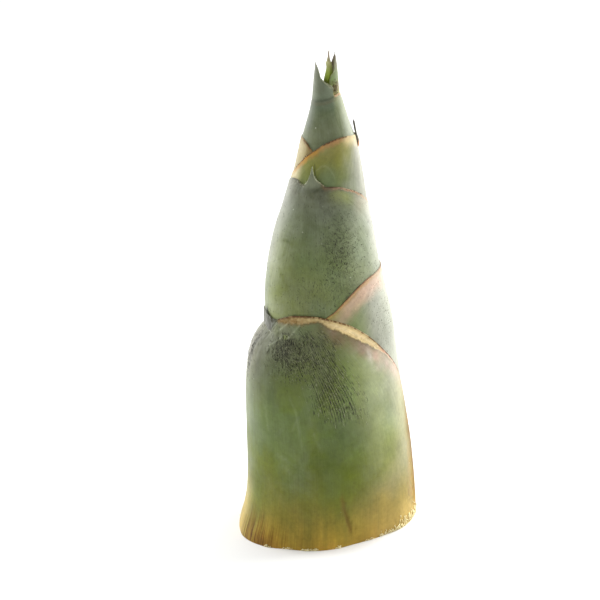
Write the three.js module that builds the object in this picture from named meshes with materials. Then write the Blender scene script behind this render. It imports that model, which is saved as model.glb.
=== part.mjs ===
// Fresh bamboo shoot, as cut for the market: a solid pale stem (the young culm) wrapped in six
// overlapping culm sheaths, with the rolled central leaf spear showing at the tip.
// Millimetres. +Z up, origin at the middle of the flat cut at the base, -Y is the front.
// The shoot stands on its cut face and leans about five degrees towards +X, as cut.
//
// Angles: "a" is measured round the shoot from the front (-Y) towards +X, in degrees. A sheath is one
// leaf that goes round more than once, so its two margins overlap; "a" is then unwrapped, and runs
// past 180 or below -180. Every sheath is listed from its own foot on the stem to its top edge.

import * as THREE from "three";

// ---------- driving dimensions ----------
const GAP = 0.58; // clear space between neighbouring layers
const STEM_TOP = 165; // height of the growing tip of the stem
const SPEAR_TIP = 242.6; // height of the central leaf spear
const STEP_DEG = 12; // facet width round the shoot
const PROUD = 0.35; // facet corners stand this far out, so that the facets lie astride the round
const EDGE_RUN = 17; // run over which a sheath thickens away from its margin
const SWELL_START = 6; // beyond a covering margin a sheath swells back out to the outline
const SWELL_RUN = 26; // between this distance from it and this much further
const OVAL = 0.045; // the section is this much shallower front to back
// Heights of the facet rows, common to every layer.
const LEVELS = [0, 6, 14, 23, 32, 46, 62, 78, 88, 95, 102, 108, 115, 121, 135, 150, 165, 180, 195, 208, 219, 229];

// Centre line of the shoot: height, x.
const CENTRE = [[0, 0.6], [20, 2.5], [50, 4.9], [80, 6.9], [110, 9.0], [140, 11.6], [170, 15.0], [200, 18.9], [242, 23.6]];
const BACKWARD = 8 / 62500; // the centre line drifts back by this times height squared

// Outline seen from the front: height, x of the left side and of the right side.
const RIGHT_SIDE = [[0, 46.7], [5, 47.05], [10, 47.2], [20, 47.3], [30, 47.2], [40, 46.91], [50, 46.29], [60, 45.64], [70, 45.06], [80, 44.52],
  [90, 44.01], [100, 43.6], [110, 42.75], [120, 41.23], [130, 40.03], [140, 38.94], [150, 37.9], [160, 36.79], [170, 36.1], [180, 35.25],
  [190, 34.2], [200, 32.73], [205, 31.42], [210, 30.09], [214.5, 29.0], [218, 28.2], [220, 27.7], [223, 27.5], [230, 27.4], [234, 27.25],
  [238, 26.95], [242, 26.5]];
const LEFT_SIDE = [[0, -46.25], [5, -44.6], [10, -42.6], [15, -41.2], [20, -40.1], [30, -38.64], [40, -37.67], [50, -36.89], [60, -36.1], [70, -35.26],
  [80, -34.1], [90, -32.1], [95, -30.74], [100, -28.5], [103, -26.3], [105, -24.5], [108, -22.0], [110.5, -21.3], [115, -21.05], [120, -20.55],
  [130, -18.93], [140, -16.78], [150, -13.94], [160, -10.27], [170, -5.84], [180, -1.89], [190, 1.84], [200, 5.61], [205, 7.66], [210, 9.85],
  [215, 11.87], [220, 13.3], [225.8, 14.4], [229, 15.0], [232, 15.6], [237.3, 16.45], [242, 18.0]];
// Outline of the cut face, as a share of the mean half width: angle, share.
const RIM = [[-180, 0.94], [-150, 0.955], [-120, 0.985], [-90, 1.0], [-67, 1.035], [-47, 0.995], [-30, 0.925], [-10, 0.915], [0, 0.905],
  [17, 0.875], [37, 0.91], [56, 0.985], [73, 1.0], [90, 1.0], [120, 0.98], [150, 0.95]];
const RIM_RUN = 26;

// The sheaths, outermost first. top: unwrapped angle, height of the top edge. over: which end of that
// range is the margin that lies outside. thick: at the foot, near the top, at the margin.
// blade: the small leaf on the top edge, as angle and height above that edge. lean: how far its tip
// stands out from the outline.
const SHEATHS = [
  {
    name: "sheath_1", foot: 0, over: "high", thick: [2.6, 1.5, 0.6], colour: 0x72824a,
    top: [[-305, 8], [-290, 22], [-266, 40], [-240, 55], [-210, 72], [-180, 86], [-150, 96], [-120, 103], [-95, 107.5], [-84, 109.6], [-74, 111.3],
      [-67, 113.3], [-57, 115.1], [-43, 117.9], [-33, 119.2], [-22, 119.4], [-11, 119], [-2, 117.8], [10, 115.6], [21, 112.8], [30, 109.4], [39, 105],
      [47, 99.9], [55, 94.5], [63, 89.2], [70, 83.7], [76, 78.7], [83, 70], [88, 58], [93, 38]],
    blade: [[-92, 0], [-84, 3.5], [-78, 9.2], [-71, 4.8], [-58, 0]], lean: 0.25,
  },
  {
    name: "sheath_2", foot: 14, over: "low", thick: [2.2, 1.3, 0.5], colour: 0x71845a,
    top: [[-96, 40], [-80, 68], [-50, 92], [-20, 110], [1, 118.4], [7, 120.2], [14, 123.1], [21, 125.9], [28, 128.3], [36, 130.6],
      [49, 132.6], [70, 133.4], [95, 133.6], [120, 132], [150, 128], [180, 121], [210, 112], [240, 100], [270, 84], [300, 58]],
    blade: [[114, 0], [123, 3], [128, 8.6], [133, 3], [142, 0]], lean: 1.3,
  },
  {
    name: "sheath_3", foot: 32, over: "high", thick: [2.0, 1.2, 0.5], colour: 0x687a55,
    top: [[-236, 98], [-225, 115], [-205, 134], [-180, 149], [-155, 162], [-130, 172], [-105, 179], [-84, 182], [-66, 183], [-56, 182.8],
      [-47, 181.4], [-41, 180.9], [-26, 181.2], [-13, 181.2], [-6, 180.6], [-2, 179.9], [7, 179.6], [19, 179], [32, 177.3], [44, 175.5],
      [55, 173.3], [69, 169.7], [90, 164], [110, 157], [130, 148], [150, 137], [162, 127], [170.6, 115], [174.8, 108], [178, 102]],
    blade: [[-40, 0], [-32, 2.8], [-27, 8.8], [-22, 3.8], [-9, 0]], lean: 0.9,
  },
  {
    name: "sheath_4", foot: 62, over: "low", thick: [1.6, 1.0, 0.45], colour: 0x83884d,
    top: [[-113, 158], [-108, 169], [-99, 180], [-90, 184], [-75, 186.9], [-67, 189], [-57, 191.4], [-49, 193.3], [-41, 194.8],
      [-31, 196.3], [-21, 197.8], [-10, 199.3], [2, 200.3], [15, 201], [31, 201.5], [46, 201.4], [65, 200.6], [90, 200], [120, 200.5],
      [150, 200.6], [180, 200.8], [240, 201.2], [284, 201.4], [298, 200.6], [310, 199.3], [317, 197.9], [323, 196.9], [333, 192], [343, 180], [350, 162]],
    blade: [[78, 0], [84, 3.4], [90, 7.4], [96, 3.4], [102, 0]], lean: 1.8,
  },
  {
    name: "sheath_5", foot: 95, over: "high", thick: [1.3, 0.8, 0.4], colour: 0x6a7a5e,
    top: [[-214, 174], [-205, 188], [-190, 201], [-165, 211], [-140, 216.5], [-115, 219], [-90, 219.8], [-45, 220.2], [0, 220.4],
      [15, 220.6], [60, 221.2], [90, 220], [120, 216], [145, 209], [160, 202], [172, 190], [178, 175]],
    blade: [[-168, 0], [-150, 2.4], [-130, 6], [-112, 11.4], [-102, 15.6], [-92, 17.9], [-84, 17.4], [-74.5, 16.4], [-64.8, 15.4],
      [-56.9, 14.3], [-49.2, 12.9], [-42.3, 11.3], [-34, 9.5], [-17, 7.5], [3.8, 5.4], [20.8, 3.3], [24.5, 0]], lean: 0,
  },
  {
    name: "sheath_6", foot: 135, over: "low", thick: [1.0, 0.7, 0.4], colour: 0x7f9468,
    top: [[-112, 192], [-100, 203], [-70, 212], [-40, 216.5], [-10, 219.6], [0, 221.6], [5, 228], [14, 230.7], [28, 231.7], [37, 234.2], [45, 236.8],
      [52, 238], [60, 238.9], [72, 239.8], [88, 240.5], [104, 239.9], [125, 238.8], [139, 237.8], [155, 235.3], [166, 231], [178, 227.5],
      [195, 223.5], [220, 219.5], [250, 212], [276, 190]],
    blade: null,
  },
];

// ---------- smooth tables ----------
// Monotone cubic through the knots, straight beyond them.
function curve(knots, period = 0) {
  let k = knots;
  if (period) k = [-period, 0, period].flatMap((s) => knots.map(([x, y]) => [x + s, y]));
  const n = k.length;
  const slope = k.slice(1).map(([x, y], i) => (y - k[i][1]) / (x - k[i][0]));
  const m = k.map((_, i) => {
    if (i === 0) return slope[0];
    if (i === n - 1) return slope[n - 2];
    const [p, q] = [slope[i - 1], slope[i]];
    if (p * q <= 0) return 0;
    const [h0, h1] = [k[i][0] - k[i - 1][0], k[i + 1][0] - k[i][0]];
    const [w1, w2] = [2 * h1 + h0, h1 + 2 * h0];
    return (w1 + w2) / (w1 / p + w2 / q);
  });
  return (x) => {
    if (x <= k[0][0]) return k[0][1] + m[0] * (x - k[0][0]);
    if (x >= k[n - 1][0]) return k[n - 1][1] + m[n - 1] * (x - k[n - 1][0]);
    let i = 0;
    while (k[i + 1][0] < x) i += 1;
    const h = k[i + 1][0] - k[i][0];
    const u = (x - k[i][0]) / h;
    return k[i][1] * (1 + u * u * (2 * u - 3)) + m[i] * h * u * (1 - u) * (1 - u) + k[i + 1][1] * u * u * (3 - 2 * u) - m[i + 1] * h * u * u * (1 - u);
  };
}

const rad = THREE.MathUtils.degToRad;
const centreX = curve(CENTRE);
const rightSide = curve(RIGHT_SIDE);
const leftSide = curve(LEFT_SIDE);
const rim = curve(RIM, 360);

// Radius of the plain outline at angle a and height z.
function outline(a, z) {
  const cx = centreX(z);
  const left = cx - leftSide(z);
  const right = rightSide(z) - cx;
  const c = Math.cos(rad(a));
  const w = Math.exp(-((z / RIM_RUN) ** 2));
  const phi = ((((a + 180) % 360) + 360) % 360) - 180;
  return PROUD + ((left + right) / 2 + ((right - left) / 2) * Math.sin(rad(a))) * (w * rim(phi) + (1 - w) * (1 - OVAL * c * c));
}

function place(a, z, r) {
  return new THREE.Vector3(centreX(z) + r * Math.sin(rad(a)), BACKWARD * z * z - r * Math.cos(rad(a)), z);
}

// ---------- layers ----------
const SPREAD = (SWELL_START + SWELL_RUN) / 40; // angle, radians, past a margin where its effect has ended
for (const s of SHEATHS) {
  const plain = curve(s.top);
  s.edge = [[s.top[0][0], s.foot - 60], ...s.top, [s.top.at(-1)[0], s.foot - 60]];
  s.low = s.top[0][0];
  s.high = s.top[s.top.length - 1][0];
  s.top = (a) => plain(THREE.MathUtils.clamp(a, s.low, s.high));
  const rise = s.blade ? curve(s.blade) : null;
  s.crest = (a) => (rise && a > s.blade[0][0] && a < s.blade.at(-1)[0] ? Math.max(0, rise(a)) : 0);
  s.highest = s.blade ? Math.max(...s.blade.map((k) => k[1])) : 1;
}

// Distance from a point of sheath s to its nearest margin: positive inside it, negative beyond it.
function inside(s, a, z) {
  const r = outline(a, z);
  let near = Infinity;
  for (let i = 0; i < s.edge.length - 1; i += 1) {
    const [x0, y0] = [rad(s.edge[i][0] - a) * r, s.edge[i][1] - z];
    const [x1, y1] = [rad(s.edge[i + 1][0] - a) * r, s.edge[i + 1][1] - z];
    const [dx, dy] = [x1 - x0, y1 - y0];
    const t = THREE.MathUtils.clamp(-(x0 * dx + y0 * dy) / (dx * dx + dy * dy), 0, 1);
    near = Math.min(near, Math.hypot(x0 + t * dx, y0 + t * dy));
  }
  return a < s.low || a > s.high || z > s.top(a) ? -near : near;
}

function thickness(s, a, z, margin) {
  const up = THREE.MathUtils.clamp((z - s.foot) / (s.top(a) - s.foot), 0, 1);
  const full = s.thick[0] + (s.thick[1] - s.thick[0]) * up;
  return s.thick[2] + (full - s.thick[2]) * (1 - Math.exp(-Math.max(0, margin) / EDGE_RUN));
}

// Depth below the outline taken up at (a, z) by everything outside sheath number n, and for a turn of
// sheath n itself by its own outer turns.
function depth(n, a, z, own = null) {
  let sum = 0;
  for (let i = 0; i <= n && i < SHEATHS.length; i += 1) {
    const s = SHEATHS[i];
    if ((i === n && own === null) || z < s.foot) continue;
    const ext = THREE.MathUtils.radToDeg(SPREAD);
    for (let b = a + 360 * Math.ceil((s.low - ext - a) / 360); b <= s.high + ext; b += 360) {
      if (i === n && (s.over === "high" ? b <= own + 1 : b >= own - 1)) continue;
      const margin = inside(s, b, z);
      const w = 1 - THREE.MathUtils.smoothstep(-margin, SWELL_START, SWELL_START + SWELL_RUN);
      sum += w * (thickness(s, b, z, margin) + GAP);
    }
  }
  return sum;
}

// ---------- solids ----------
class Solid {
  constructor() {
    this.position = [];
    this.index = [];
  }

  add(p) {
    this.position.push(p.x, p.y, p.z);
    return this.position.length / 3 - 1;
  }

  // The strip between two upward lines of vertices p (at smaller angle) and q, seen from outside.
  strip(p, q, zp, zq, flip) {
    let [i, j] = [0, 0];
    while (i < p.length - 1 || j < q.length - 1) {
      const right = i === p.length - 1 || (j < q.length - 1 && zq[j + 1] <= zp[i + 1] + 1e-9);
      const tri = right ? [p[i], q[j], q[j + 1]] : [p[i], q[j], p[i + 1]];
      if (flip) tri.reverse();
      this.index.push(...tri);
      if (right) j += 1;
      else i += 1;
    }
  }

  quad(a, b, c, d) {
    this.index.push(a, b, c, a, c, d);
  }

  geometry() {
    const g = new THREE.BufferGeometry();
    g.setAttribute("position", new THREE.Float32BufferAttribute(this.position, 3));
    g.setIndex(this.index);
    g.computeVertexNormals();
    return g;
  }
}

// Columns of a sheath: every STEP_DEG round, its two margins and its neighbours', and closer ones at its blade.
function columns(s, n) {
  const wanted = [s.low, s.high, s.edge[2][0], s.edge.at(-3)[0], s.edge.at(-4)[0]];
  if (s.blade) wanted.push(...s.blade.map((k) => k[0]));
  if (!s.blade) wanted.push(5, 37, 52);
  for (const t of [SHEATHS[n - 1], SHEATHS[n + 1]]) {
    if (t) for (const m of [t.low, t.high, t.edge[2][0], t.edge.at(-3)[0]])
      for (const a of [m - 360, m, m + 360]) if (a > s.low && a < s.high && wanted.every((w) => Math.abs(w - a) > 2)) wanted.push(a);
  }
  const all = [...wanted];
  for (let a = Math.ceil(s.low / STEP_DEG) * STEP_DEG; a < s.high; a += STEP_DEG) {
    if (wanted.every((w) => Math.abs(w - a) > 2)) all.push(a);
  }
  return all.sort((p, q) => p - q);
}

function sheath(s, n) {
  const solid = new Solid();
  const foot = s.foot ? s.foot + GAP : 0;
  const cols = columns(s, n).map((a) => {
    const top = s.top(a), tip = s.crest(a);
    const z = [foot, ...LEVELS.filter((v) => v > foot + 3 && v < top - 1.5), top];
    if (tip > 1) z.push(top + tip * 0.5, top + tip);
    const line = { z, o: [], i: [] };
    for (const h of z) {
      const above = tip > 0 ? Math.max(0, h - top) / s.highest : 0;
      const out = outline(a, h) - depth(n, a, h, a) + (above ? s.lean * above : 0);
      line.o.push(solid.add(place(a, h, out)));
      line.i.push(solid.add(place(a, h, out - thickness(s, a, h, inside(s, a, h)))));
    }
    return line;
  });
  for (let k = 0; k < cols.length - 1; k += 1) {
    const [p, q] = [cols[k], cols[k + 1]];
    solid.strip(p.o, q.o, p.z, q.z, false);
    solid.strip(p.i, q.i, p.z, q.z, true);
    solid.quad(p.o.at(-1), q.o.at(-1), q.i.at(-1), p.i.at(-1));
    solid.quad(q.o[0], p.o[0], p.i[0], q.i[0]);
  }
  const [first, last] = [cols[0], cols.at(-1)];
  for (let j = 0; j < first.z.length - 1; j += 1) solid.quad(first.o[j], first.o[j + 1], first.i[j + 1], first.i[j]);
  for (let j = 0; j < last.z.length - 1; j += 1) solid.quad(last.o[j + 1], last.o[j], last.i[j], last.i[j + 1]);
  return solid.geometry();
}

// A solid of rings of points, closed by flat ends.
function stack(rings) {
  const solid = new Solid();
  const loops = rings.map((ring) => ring.map((p) => solid.add(p)));
  const n = loops[0].length;
  const ends = [rings[0], rings.at(-1)].map((ring) => solid.add(ring.reduce((s, p) => s.add(p), new THREE.Vector3()).divideScalar(n)));
  for (let i = 0; i < n; i += 1) {
    const k = (i + 1) % n;
    for (let j = 0; j < loops.length - 1; j += 1)
      solid.index.push(loops[j][i], loops[j][k], loops[j + 1][k], loops[j][i], loops[j + 1][k], loops[j + 1][i]);
    solid.index.push(ends[0], loops[0][k], loops[0][i], ends[1], loops.at(-1)[i], loops.at(-1)[k]);
  }
  return solid.geometry();
}

// The stem: fills what the sheaths leave, with a ledge at each sheath's foot.
const STEM = curve([[0, 46], [62, 39], [95, 31], [135, 21], [150, 17], [STEM_TOP, 13]]);
function stem() {
  const heights = LEVELS.filter((z) => z <= STEM_TOP);
  for (const s of SHEATHS) if (s.foot) heights.push(s.foot - 0.06);
  heights.sort((p, q) => p - q);
  return stack(heights.map((z) => {
    const ring = [];
    for (let a = -180; a < 180; a += STEP_DEG) ring.push(place(a, z, Math.min(STEM(z), outline(a, z) - depth(SHEATHS.length, a, z))));
    return ring;
  }));
}

// The central spear: the youngest leaves, rolled to a point, standing on the stem's tip.
const SPEAR = curve([[STEM_TOP, 12.5], [180, 10.5], [195, 8.6], [208, 6.2], [216, 4.6], [224, 3.3], [232, 1.9], [238, 0.9], [SPEAR_TIP, 0.25]]);
const SPEAR_X = curve([[STEM_TOP, 0], [205, 0], [222, -0.4], [232, 0.1], [SPEAR_TIP, 0.6]]);
const SPEAR_Y = curve([[STEM_TOP, 0], [205, 0], [222, -0.8], [232, -1.2], [SPEAR_TIP, -1.2]]);
function spear() {
  const heights = [STEM_TOP + GAP, 180, 195, 208, 219, 224, 229, 234, 238.5, SPEAR_TIP];
  return stack(heights.map((z) => {
    const ring = [];
    for (let a = -180; a < 180; a += 24) {
      const room = z < 228 ? outline(a, z) - depth(SHEATHS.length, a, z) - 1 : 99;
      const p = place(a, z, Math.min(SPEAR(z), room));
      ring.push(p.add(new THREE.Vector3(SPEAR_X(z), SPEAR_Y(z), 0)));
    }
    return ring;
  }));
}

// ---------- the shoot ----------
const shoot = new THREE.Group();
shoot.name = "bamboo_shoot";
function add(name, geometry, colour, roughness) {
  const mesh = new THREE.Mesh(geometry, new THREE.MeshStandardMaterial({ color: colour, roughness, metalness: 0 }));
  mesh.name = name;
  shoot.add(mesh);
}
add("stem", stem(), 0xe9dfae, 0.6);
SHEATHS.forEach((s, n) => add(s.name, sheath(s, n), s.colour, 0.55));
add("central_spear", spear(), 0x9aac4e, 0.5);

export default shoot;
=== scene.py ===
"""Looks of the bamboo shoot: a fine visual mesh for every CAD node, with its hairs, torn margin and cut fibres.

Lengths in this script are millimetres until a mesh is written, then metres. Angles go round the shoot
from the front (-Y) towards +X, in degrees, and run past 180 on a sheath that wraps more than once."""
import math
import bpy
import numpy as np
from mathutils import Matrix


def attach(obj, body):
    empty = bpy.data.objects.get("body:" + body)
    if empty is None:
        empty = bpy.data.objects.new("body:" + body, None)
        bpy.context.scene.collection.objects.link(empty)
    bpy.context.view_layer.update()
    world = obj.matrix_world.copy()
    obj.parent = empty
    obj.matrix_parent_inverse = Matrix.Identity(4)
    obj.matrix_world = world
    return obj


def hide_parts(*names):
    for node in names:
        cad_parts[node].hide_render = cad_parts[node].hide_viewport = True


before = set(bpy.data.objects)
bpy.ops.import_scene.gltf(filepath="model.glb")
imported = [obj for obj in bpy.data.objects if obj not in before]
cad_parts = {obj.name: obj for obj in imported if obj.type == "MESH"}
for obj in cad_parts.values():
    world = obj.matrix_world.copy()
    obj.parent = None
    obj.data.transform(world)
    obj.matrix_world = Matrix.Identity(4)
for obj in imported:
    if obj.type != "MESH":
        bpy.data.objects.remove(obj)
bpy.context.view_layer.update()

# ------------------------------------------------------------------ tables and noise
class Curve:
    """Monotone cubic through knots, straight beyond them."""
    def __init__(self, knots, period=0.0):
        x = np.array([k[0] for k in knots], float)
        y = np.array([k[1] for k in knots], float)
        if period:
            x = np.concatenate([x - period, x, x + period])
            y = np.concatenate([y, y, y])
        h = np.diff(x)
        d = np.diff(y) / h
        m = np.zeros_like(y)
        for i in range(1, len(x) - 1):
            if d[i - 1] * d[i] > 0:
                w1, w2 = 2 * h[i] + h[i - 1], h[i] + 2 * h[i - 1]
                m[i] = (w1 + w2) / (w1 / d[i - 1] + w2 / d[i])
        m[0], m[-1] = d[0], d[-1]
        self.x, self.y, self.m = x, y, m

    def __call__(self, q):
        x, y, m = self.x, self.y, self.m
        q = np.asarray(q, float)
        i = np.clip(np.searchsorted(x, q, side="right") - 1, 0, len(x) - 2)
        h = x[i + 1] - x[i]
        u = (q - x[i]) / h
        c = np.clip(u, 0, 1)
        v = (y[i] * (2 * c**3 - 3 * c**2 + 1) + m[i] * h * (c**3 - 2 * c**2 + c)
             + y[i + 1] * (3 * c**2 - 2 * c**3) + m[i + 1] * h * (c**3 - c**2))
        return v + np.where(u < 0, m[0] * (q - x[0]), 0) + np.where(u > 1, m[-1] * (q - x[-1]), 0)


def step(a, b, x):
    t = np.clip((x - a) / (b - a), 0, 1)
    return t * t * (3 - 2 * t)


def bump(c, w, x):
    return np.exp(-(((x - c) / w) ** 2))


def hashed(ix, iy, iz, seed):
    h = (ix.astype(np.int64) * 374761393 + iy.astype(np.int64) * 668265263 + iz.astype(np.int64) * 2147483647 + seed * 1274126177) & 0xFFFFFFFF
    h = ((h ^ (h >> 13)) * 1274126177) & 0xFFFFFFFF
    h = ((h ^ (h >> 16)) * 2246822519) & 0xFFFFFFFF
    h = h ^ (h >> 15)
    return (h & 0xFFFFFF) / float(0xFFFFFF) * 2 - 1


def noise(x, y, z=0.0, seed=0):
    """Smooth value noise, -1 to 1."""
    x, y, z = np.broadcast_arrays(np.asarray(x, float), np.asarray(y, float), np.asarray(z, float))
    fx, fy, fz = np.floor(x), np.floor(y), np.floor(z)
    u, v, w = x - fx, y - fy, z - fz
    u, v, w = [t * t * t * (t * (6 * t - 15) + 10) for t in (u, v, w)]
    ix, iy, iz = fx.astype(np.int64), fy.astype(np.int64), fz.astype(np.int64)
    out = 0
    for dx in (0, 1):
        for dy in (0, 1):
            for dz in (0, 1):
                k = (u if dx else 1 - u) * (v if dy else 1 - v) * (w if dz else 1 - w)
                out = out + k * hashed(ix + dx, iy + dy, iz + dz, seed)
    return out


def fbm(x, y, z=0.0, seed=0, octaves=4, gain=0.5):
    total, amp, norm = 0, 1.0, 0
    for k in range(octaves):
        f = 2.0**k
        total = total + amp * noise(np.asarray(x) * f + 17.3 * k, np.asarray(y) * f - 9.1 * k, np.asarray(z) * f + 5.7 * k, seed + k * 31)
        norm += amp
        amp *= gain
    return total / norm


def lin(r, g, b):
    """An sRGB colour, 0 to 255, as linear numbers."""
    c = np.array([r, g, b], float) / 255
    return np.where(c <= 0.04045, c / 12.92, ((c + 0.055) / 1.055) ** 2.4)


def blend(col, m, to):
    m = np.clip(np.asarray(m, float), 0, 1)[..., None]
    return col * (1 - m) + np.asarray(to) * m


# ------------------------------------------------------------------ the outline of the shoot
CENTRE = Curve([(0, 0.6), (20, 2.5), (50, 4.9), (80, 6.9), (110, 9.0), (140, 11.6), (170, 15.0), (200, 18.9), (242, 23.6)])
RIGHT = Curve([(0, 46.7), (5, 47.05), (10, 47.2), (20, 47.3), (30, 47.2), (40, 46.91), (50, 46.29), (60, 45.64), (70, 45.06), (80, 44.52),
               (90, 44.01), (100, 43.6), (110, 42.75), (120, 41.23), (130, 40.03), (140, 38.94), (150, 37.9), (160, 36.79), (170, 36.1),
               (180, 35.25), (190, 34.2), (200, 32.73), (205, 31.42), (210, 30.09), (214.5, 29.0), (218, 28.2), (220, 27.7), (223, 27.5),
               (230, 27.4), (234, 27.25), (238, 26.95), (242, 26.5)])
LEFT = Curve([(0, -46.25), (5, -44.6), (10, -42.6), (15, -41.2), (20, -40.1), (30, -38.64), (40, -37.67), (50, -36.89), (60, -36.1), (70, -35.26),
              (80, -34.1), (90, -32.1), (95, -30.74), (100, -28.5), (103, -26.3), (105, -24.5), (108, -22.0), (110.5, -21.3), (115, -21.05), (120, -20.55), (130, -18.93),
              (140, -16.78), (150, -13.94), (160, -10.27), (170, -5.84), (180, -1.89), (190, 1.84), (200, 5.61), (205, 7.66), (210, 9.85),
              (215, 11.87), (220, 13.3), (225.8, 14.4), (229, 15.0), (230.2, 15.2), (232, 15.6), (234.6, 16.2), (237.3, 16.45), (242, 18.0)])
RIM = Curve([(-180, 0.94), (-150, 0.955), (-120, 0.985), (-90, 1.0), (-67, 1.035), (-47, 0.995), (-30, 0.925), (-10, 0.915), (0, 0.905),
             (17, 0.875), (37, 0.91), (56, 0.985), (73, 1.0), (90, 1.0), (120, 0.98), (150, 0.95)], 360)


def outline(a, z):
    cx = CENTRE(z)
    left, right = cx - LEFT(z), RIGHT(z) - cx
    s, c = np.sin(np.radians(a)), np.cos(np.radians(a))
    w = np.exp(-((z / 26.0) ** 2))
    phi = (np.asarray(a) + 180) % 360 - 180
    return ((left + right) / 2 + (right - left) / 2 * s) * (w * RIM(phi) + (1 - w) * (1 - 0.045 * c * c))


def place(a, z, r):
    t = np.radians(a)
    return np.stack([CENTRE(z) + r * np.sin(t), 8 * (z / 250.0) ** 2 - r * np.cos(t), z + 0 * r], -1)


# ------------------------------------------------------------------ sheaths
GAP = 0.12
SHEATHS = [
    dict(name="sheath_1", foot=0, over="high", thick=(2.6, 1.5, 0.5), apex=-76,
         top=[(-305, 8), (-290, 22), (-266, 40), (-240, 55), (-210, 72), (-180, 86), (-150, 96), (-120, 103), (-95, 107.5), (-84, 109.6), (-74, 111.3),
              (-67, 113.3), (-57, 115.1), (-43, 117.9), (-33, 119.2), (-22, 119.4), (-11, 119), (-2, 117.8), (10, 115.6), (21, 112.8), (30, 109.4),
              (39, 105), (47, 99.9), (55, 94.5), (63, 89.2), (70, 83.7), (76, 78.7), (83, 70), (88, 58), (93, 38)],
         crest=[(-94, 0), (-88, 1.2), (-83, 4.2), (-80, 7.6), (-78, 9.2), (-76, 8.2), (-72, 5.6), (-65, 2.4), (-58, 0.5), (-54, 0)], lean=0.25),
    dict(name="sheath_2", foot=14, over="low", thick=(2.2, 1.3, 0.42), apex=128,
         top=[(-96, 40), (-80, 68), (-50, 92), (-20, 110), (1, 118.4), (7, 120.2), (14, 123.1), (21, 125.9), (28, 128.3), (36, 130.6), (49, 132.6),
              (70, 133.4), (95, 133.6), (120, 132), (150, 128), (180, 121), (210, 112), (240, 100), (270, 84), (300, 58)],
         crest=[(112, 0), (120, 1.6), (125, 5), (128, 8.6), (131, 5), (136, 1.6), (144, 0)], lean=1.3),
    dict(name="sheath_3", foot=32, over="high", thick=(2.0, 1.2, 0.42), apex=-26,
         top=[(-236, 98), (-225, 115), (-205, 134), (-180, 149), (-155, 162), (-130, 172), (-105, 179), (-84, 182), (-66, 183), (-56, 182.8),
              (-47, 181.4), (-41, 180.9), (-36, 181.2), (-26, 181.2), (-13, 181.2), (-6, 180.6), (-2, 179.9), (7, 179.6), (19, 179), (32, 177.3), (44, 175.5), (55, 173.3), (69, 169.7),
              (90, 164), (110, 157), (130, 148), (150, 137), (165, 124), (178, 102)],
         crest=[(-41, 0), (-37, 0.7), (-33.5, 2.0), (-30.5, 4.4), (-28.4, 7.0), (-27, 8.8), (-25.4, 6.8), (-23.2, 4.6), (-18.5, 2.5), (-12, 1.0), (-5, 0)], lean=0.9),
    dict(name="sheath_4", foot=62, over="low", thick=(1.6, 1.0, 0.36), apex=98,
         top=[(-113, 158), (-108, 169), (-99, 180), (-90, 184), (-75, 186.9), (-67, 189), (-57, 191.4), (-49, 193.3), (-41, 194.8), (-31, 196.3),
              (-21, 197.8), (-10, 199.3), (2, 200.3), (15, 201), (31, 201.5), (46, 201.4), (65, 200.6), (90, 200), (120, 200.5), (150, 200.6),
              (180, 200.8), (240, 201.2), (284, 201.4), (298, 200.6), (310, 199.3), (317, 197.9), (323, 196.9), (333, 192), (343, 180), (350, 162)],
         crest=None, lean=0.0),
    dict(name="sheath_5", foot=95, over="high", thick=(1.3, 0.8, 0.34), apex=-84,
         top=[(-214, 174), (-205, 188), (-190, 201), (-165, 211), (-140, 216.5), (-115, 219), (-90, 219.8), (-45, 220.2), (0, 220.4), (15, 220.6),
              (60, 221.2), (90, 220), (120, 216), (145, 209), (160, 202), (172, 190), (178, 175)],
         crest=[(-168, 0), (-150, 2.4), (-130, 6), (-112, 11.4), (-102, 15.6), (-92, 17.9), (-84, 17.4), (-74.5, 16.4), (-64.8, 15.4), (-56.9, 14.3), (-49.2, 12.9),
                (-42.3, 11.3), (-37.3, 9.9), (-28.6, 8.9), (-17.1, 7.5), (3.8, 5.4), (20.8, 3.3), (22.4, 1.2), (24.5, 0)], lean=0.0),
    dict(name="sheath_6", foot=135, over="low", thick=(1.0, 0.7, 0.32), apex=90,
         top=[(-112, 192), (-100, 203), (-70, 212), (-40, 216.5), (-10, 219.6), (0, 221.6), (2.6, 225.4), (5, 228.0), (8.7, 229.8), (13.9, 230.7),
              (20.7, 231.3), (28, 231.7), (31, 232.2), (36.9, 234.2), (44.9, 236.8), (52, 238.0), (60, 238.9), (72, 239.8), (88, 240.5), (104, 239.6), (125, 238.8), (139, 237.8), (155, 235.3), (166, 231), (178, 227.5), (195, 223.5), (220, 219.5),
              (250, 212), (276, 190)],
         crest=None, lean=0.0),
]


def inside(s, a, z):
    """Distance to the nearest margin, positive inside the sheath, negative beyond it."""
    r = outline(a, z)
    tilt = (s["edge"](a + 0.5) - s["edge"](a - 0.5)) / np.radians(r)
    drop = (s["edge"](a) - z) / np.hypot(1, tilt)
    across = np.radians(np.minimum(s["high"] - a, a - s["low"])) * r
    m = np.where((drop < 0) & (across < 0), -np.hypot(drop, across), np.minimum(drop, across))
    m, r, a, z = np.broadcast_arrays(m, r, a, z)
    m = np.where((drop < 0) & (z > s["peak"] + 24), -99.0, m)
    # above a steep edge the way to it is measured along the skin
    far = (drop < 0) & (m > -99.0)
    if far.any():
        near = np.full(int(far.sum()), 99.0)
        ra, aa, za = r[far], a[far], z[far]
        for (a0, z0), (a1, z1) in zip(s["line"], s["line"][1:]):
            x0, y0 = np.radians(a0 - aa) * ra, z0 - za
            dx, dy = np.radians(a1 - a0) * ra, z1 - z0
            t = np.clip(-(x0 * dx + y0 * dy) / (dx * dx + dy * dy), 0, 1)
            near = np.minimum(near, np.hypot(x0 + t * dx, y0 + t * dy))
        m = m.copy()
        m[far] = -near
    return m


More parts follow.
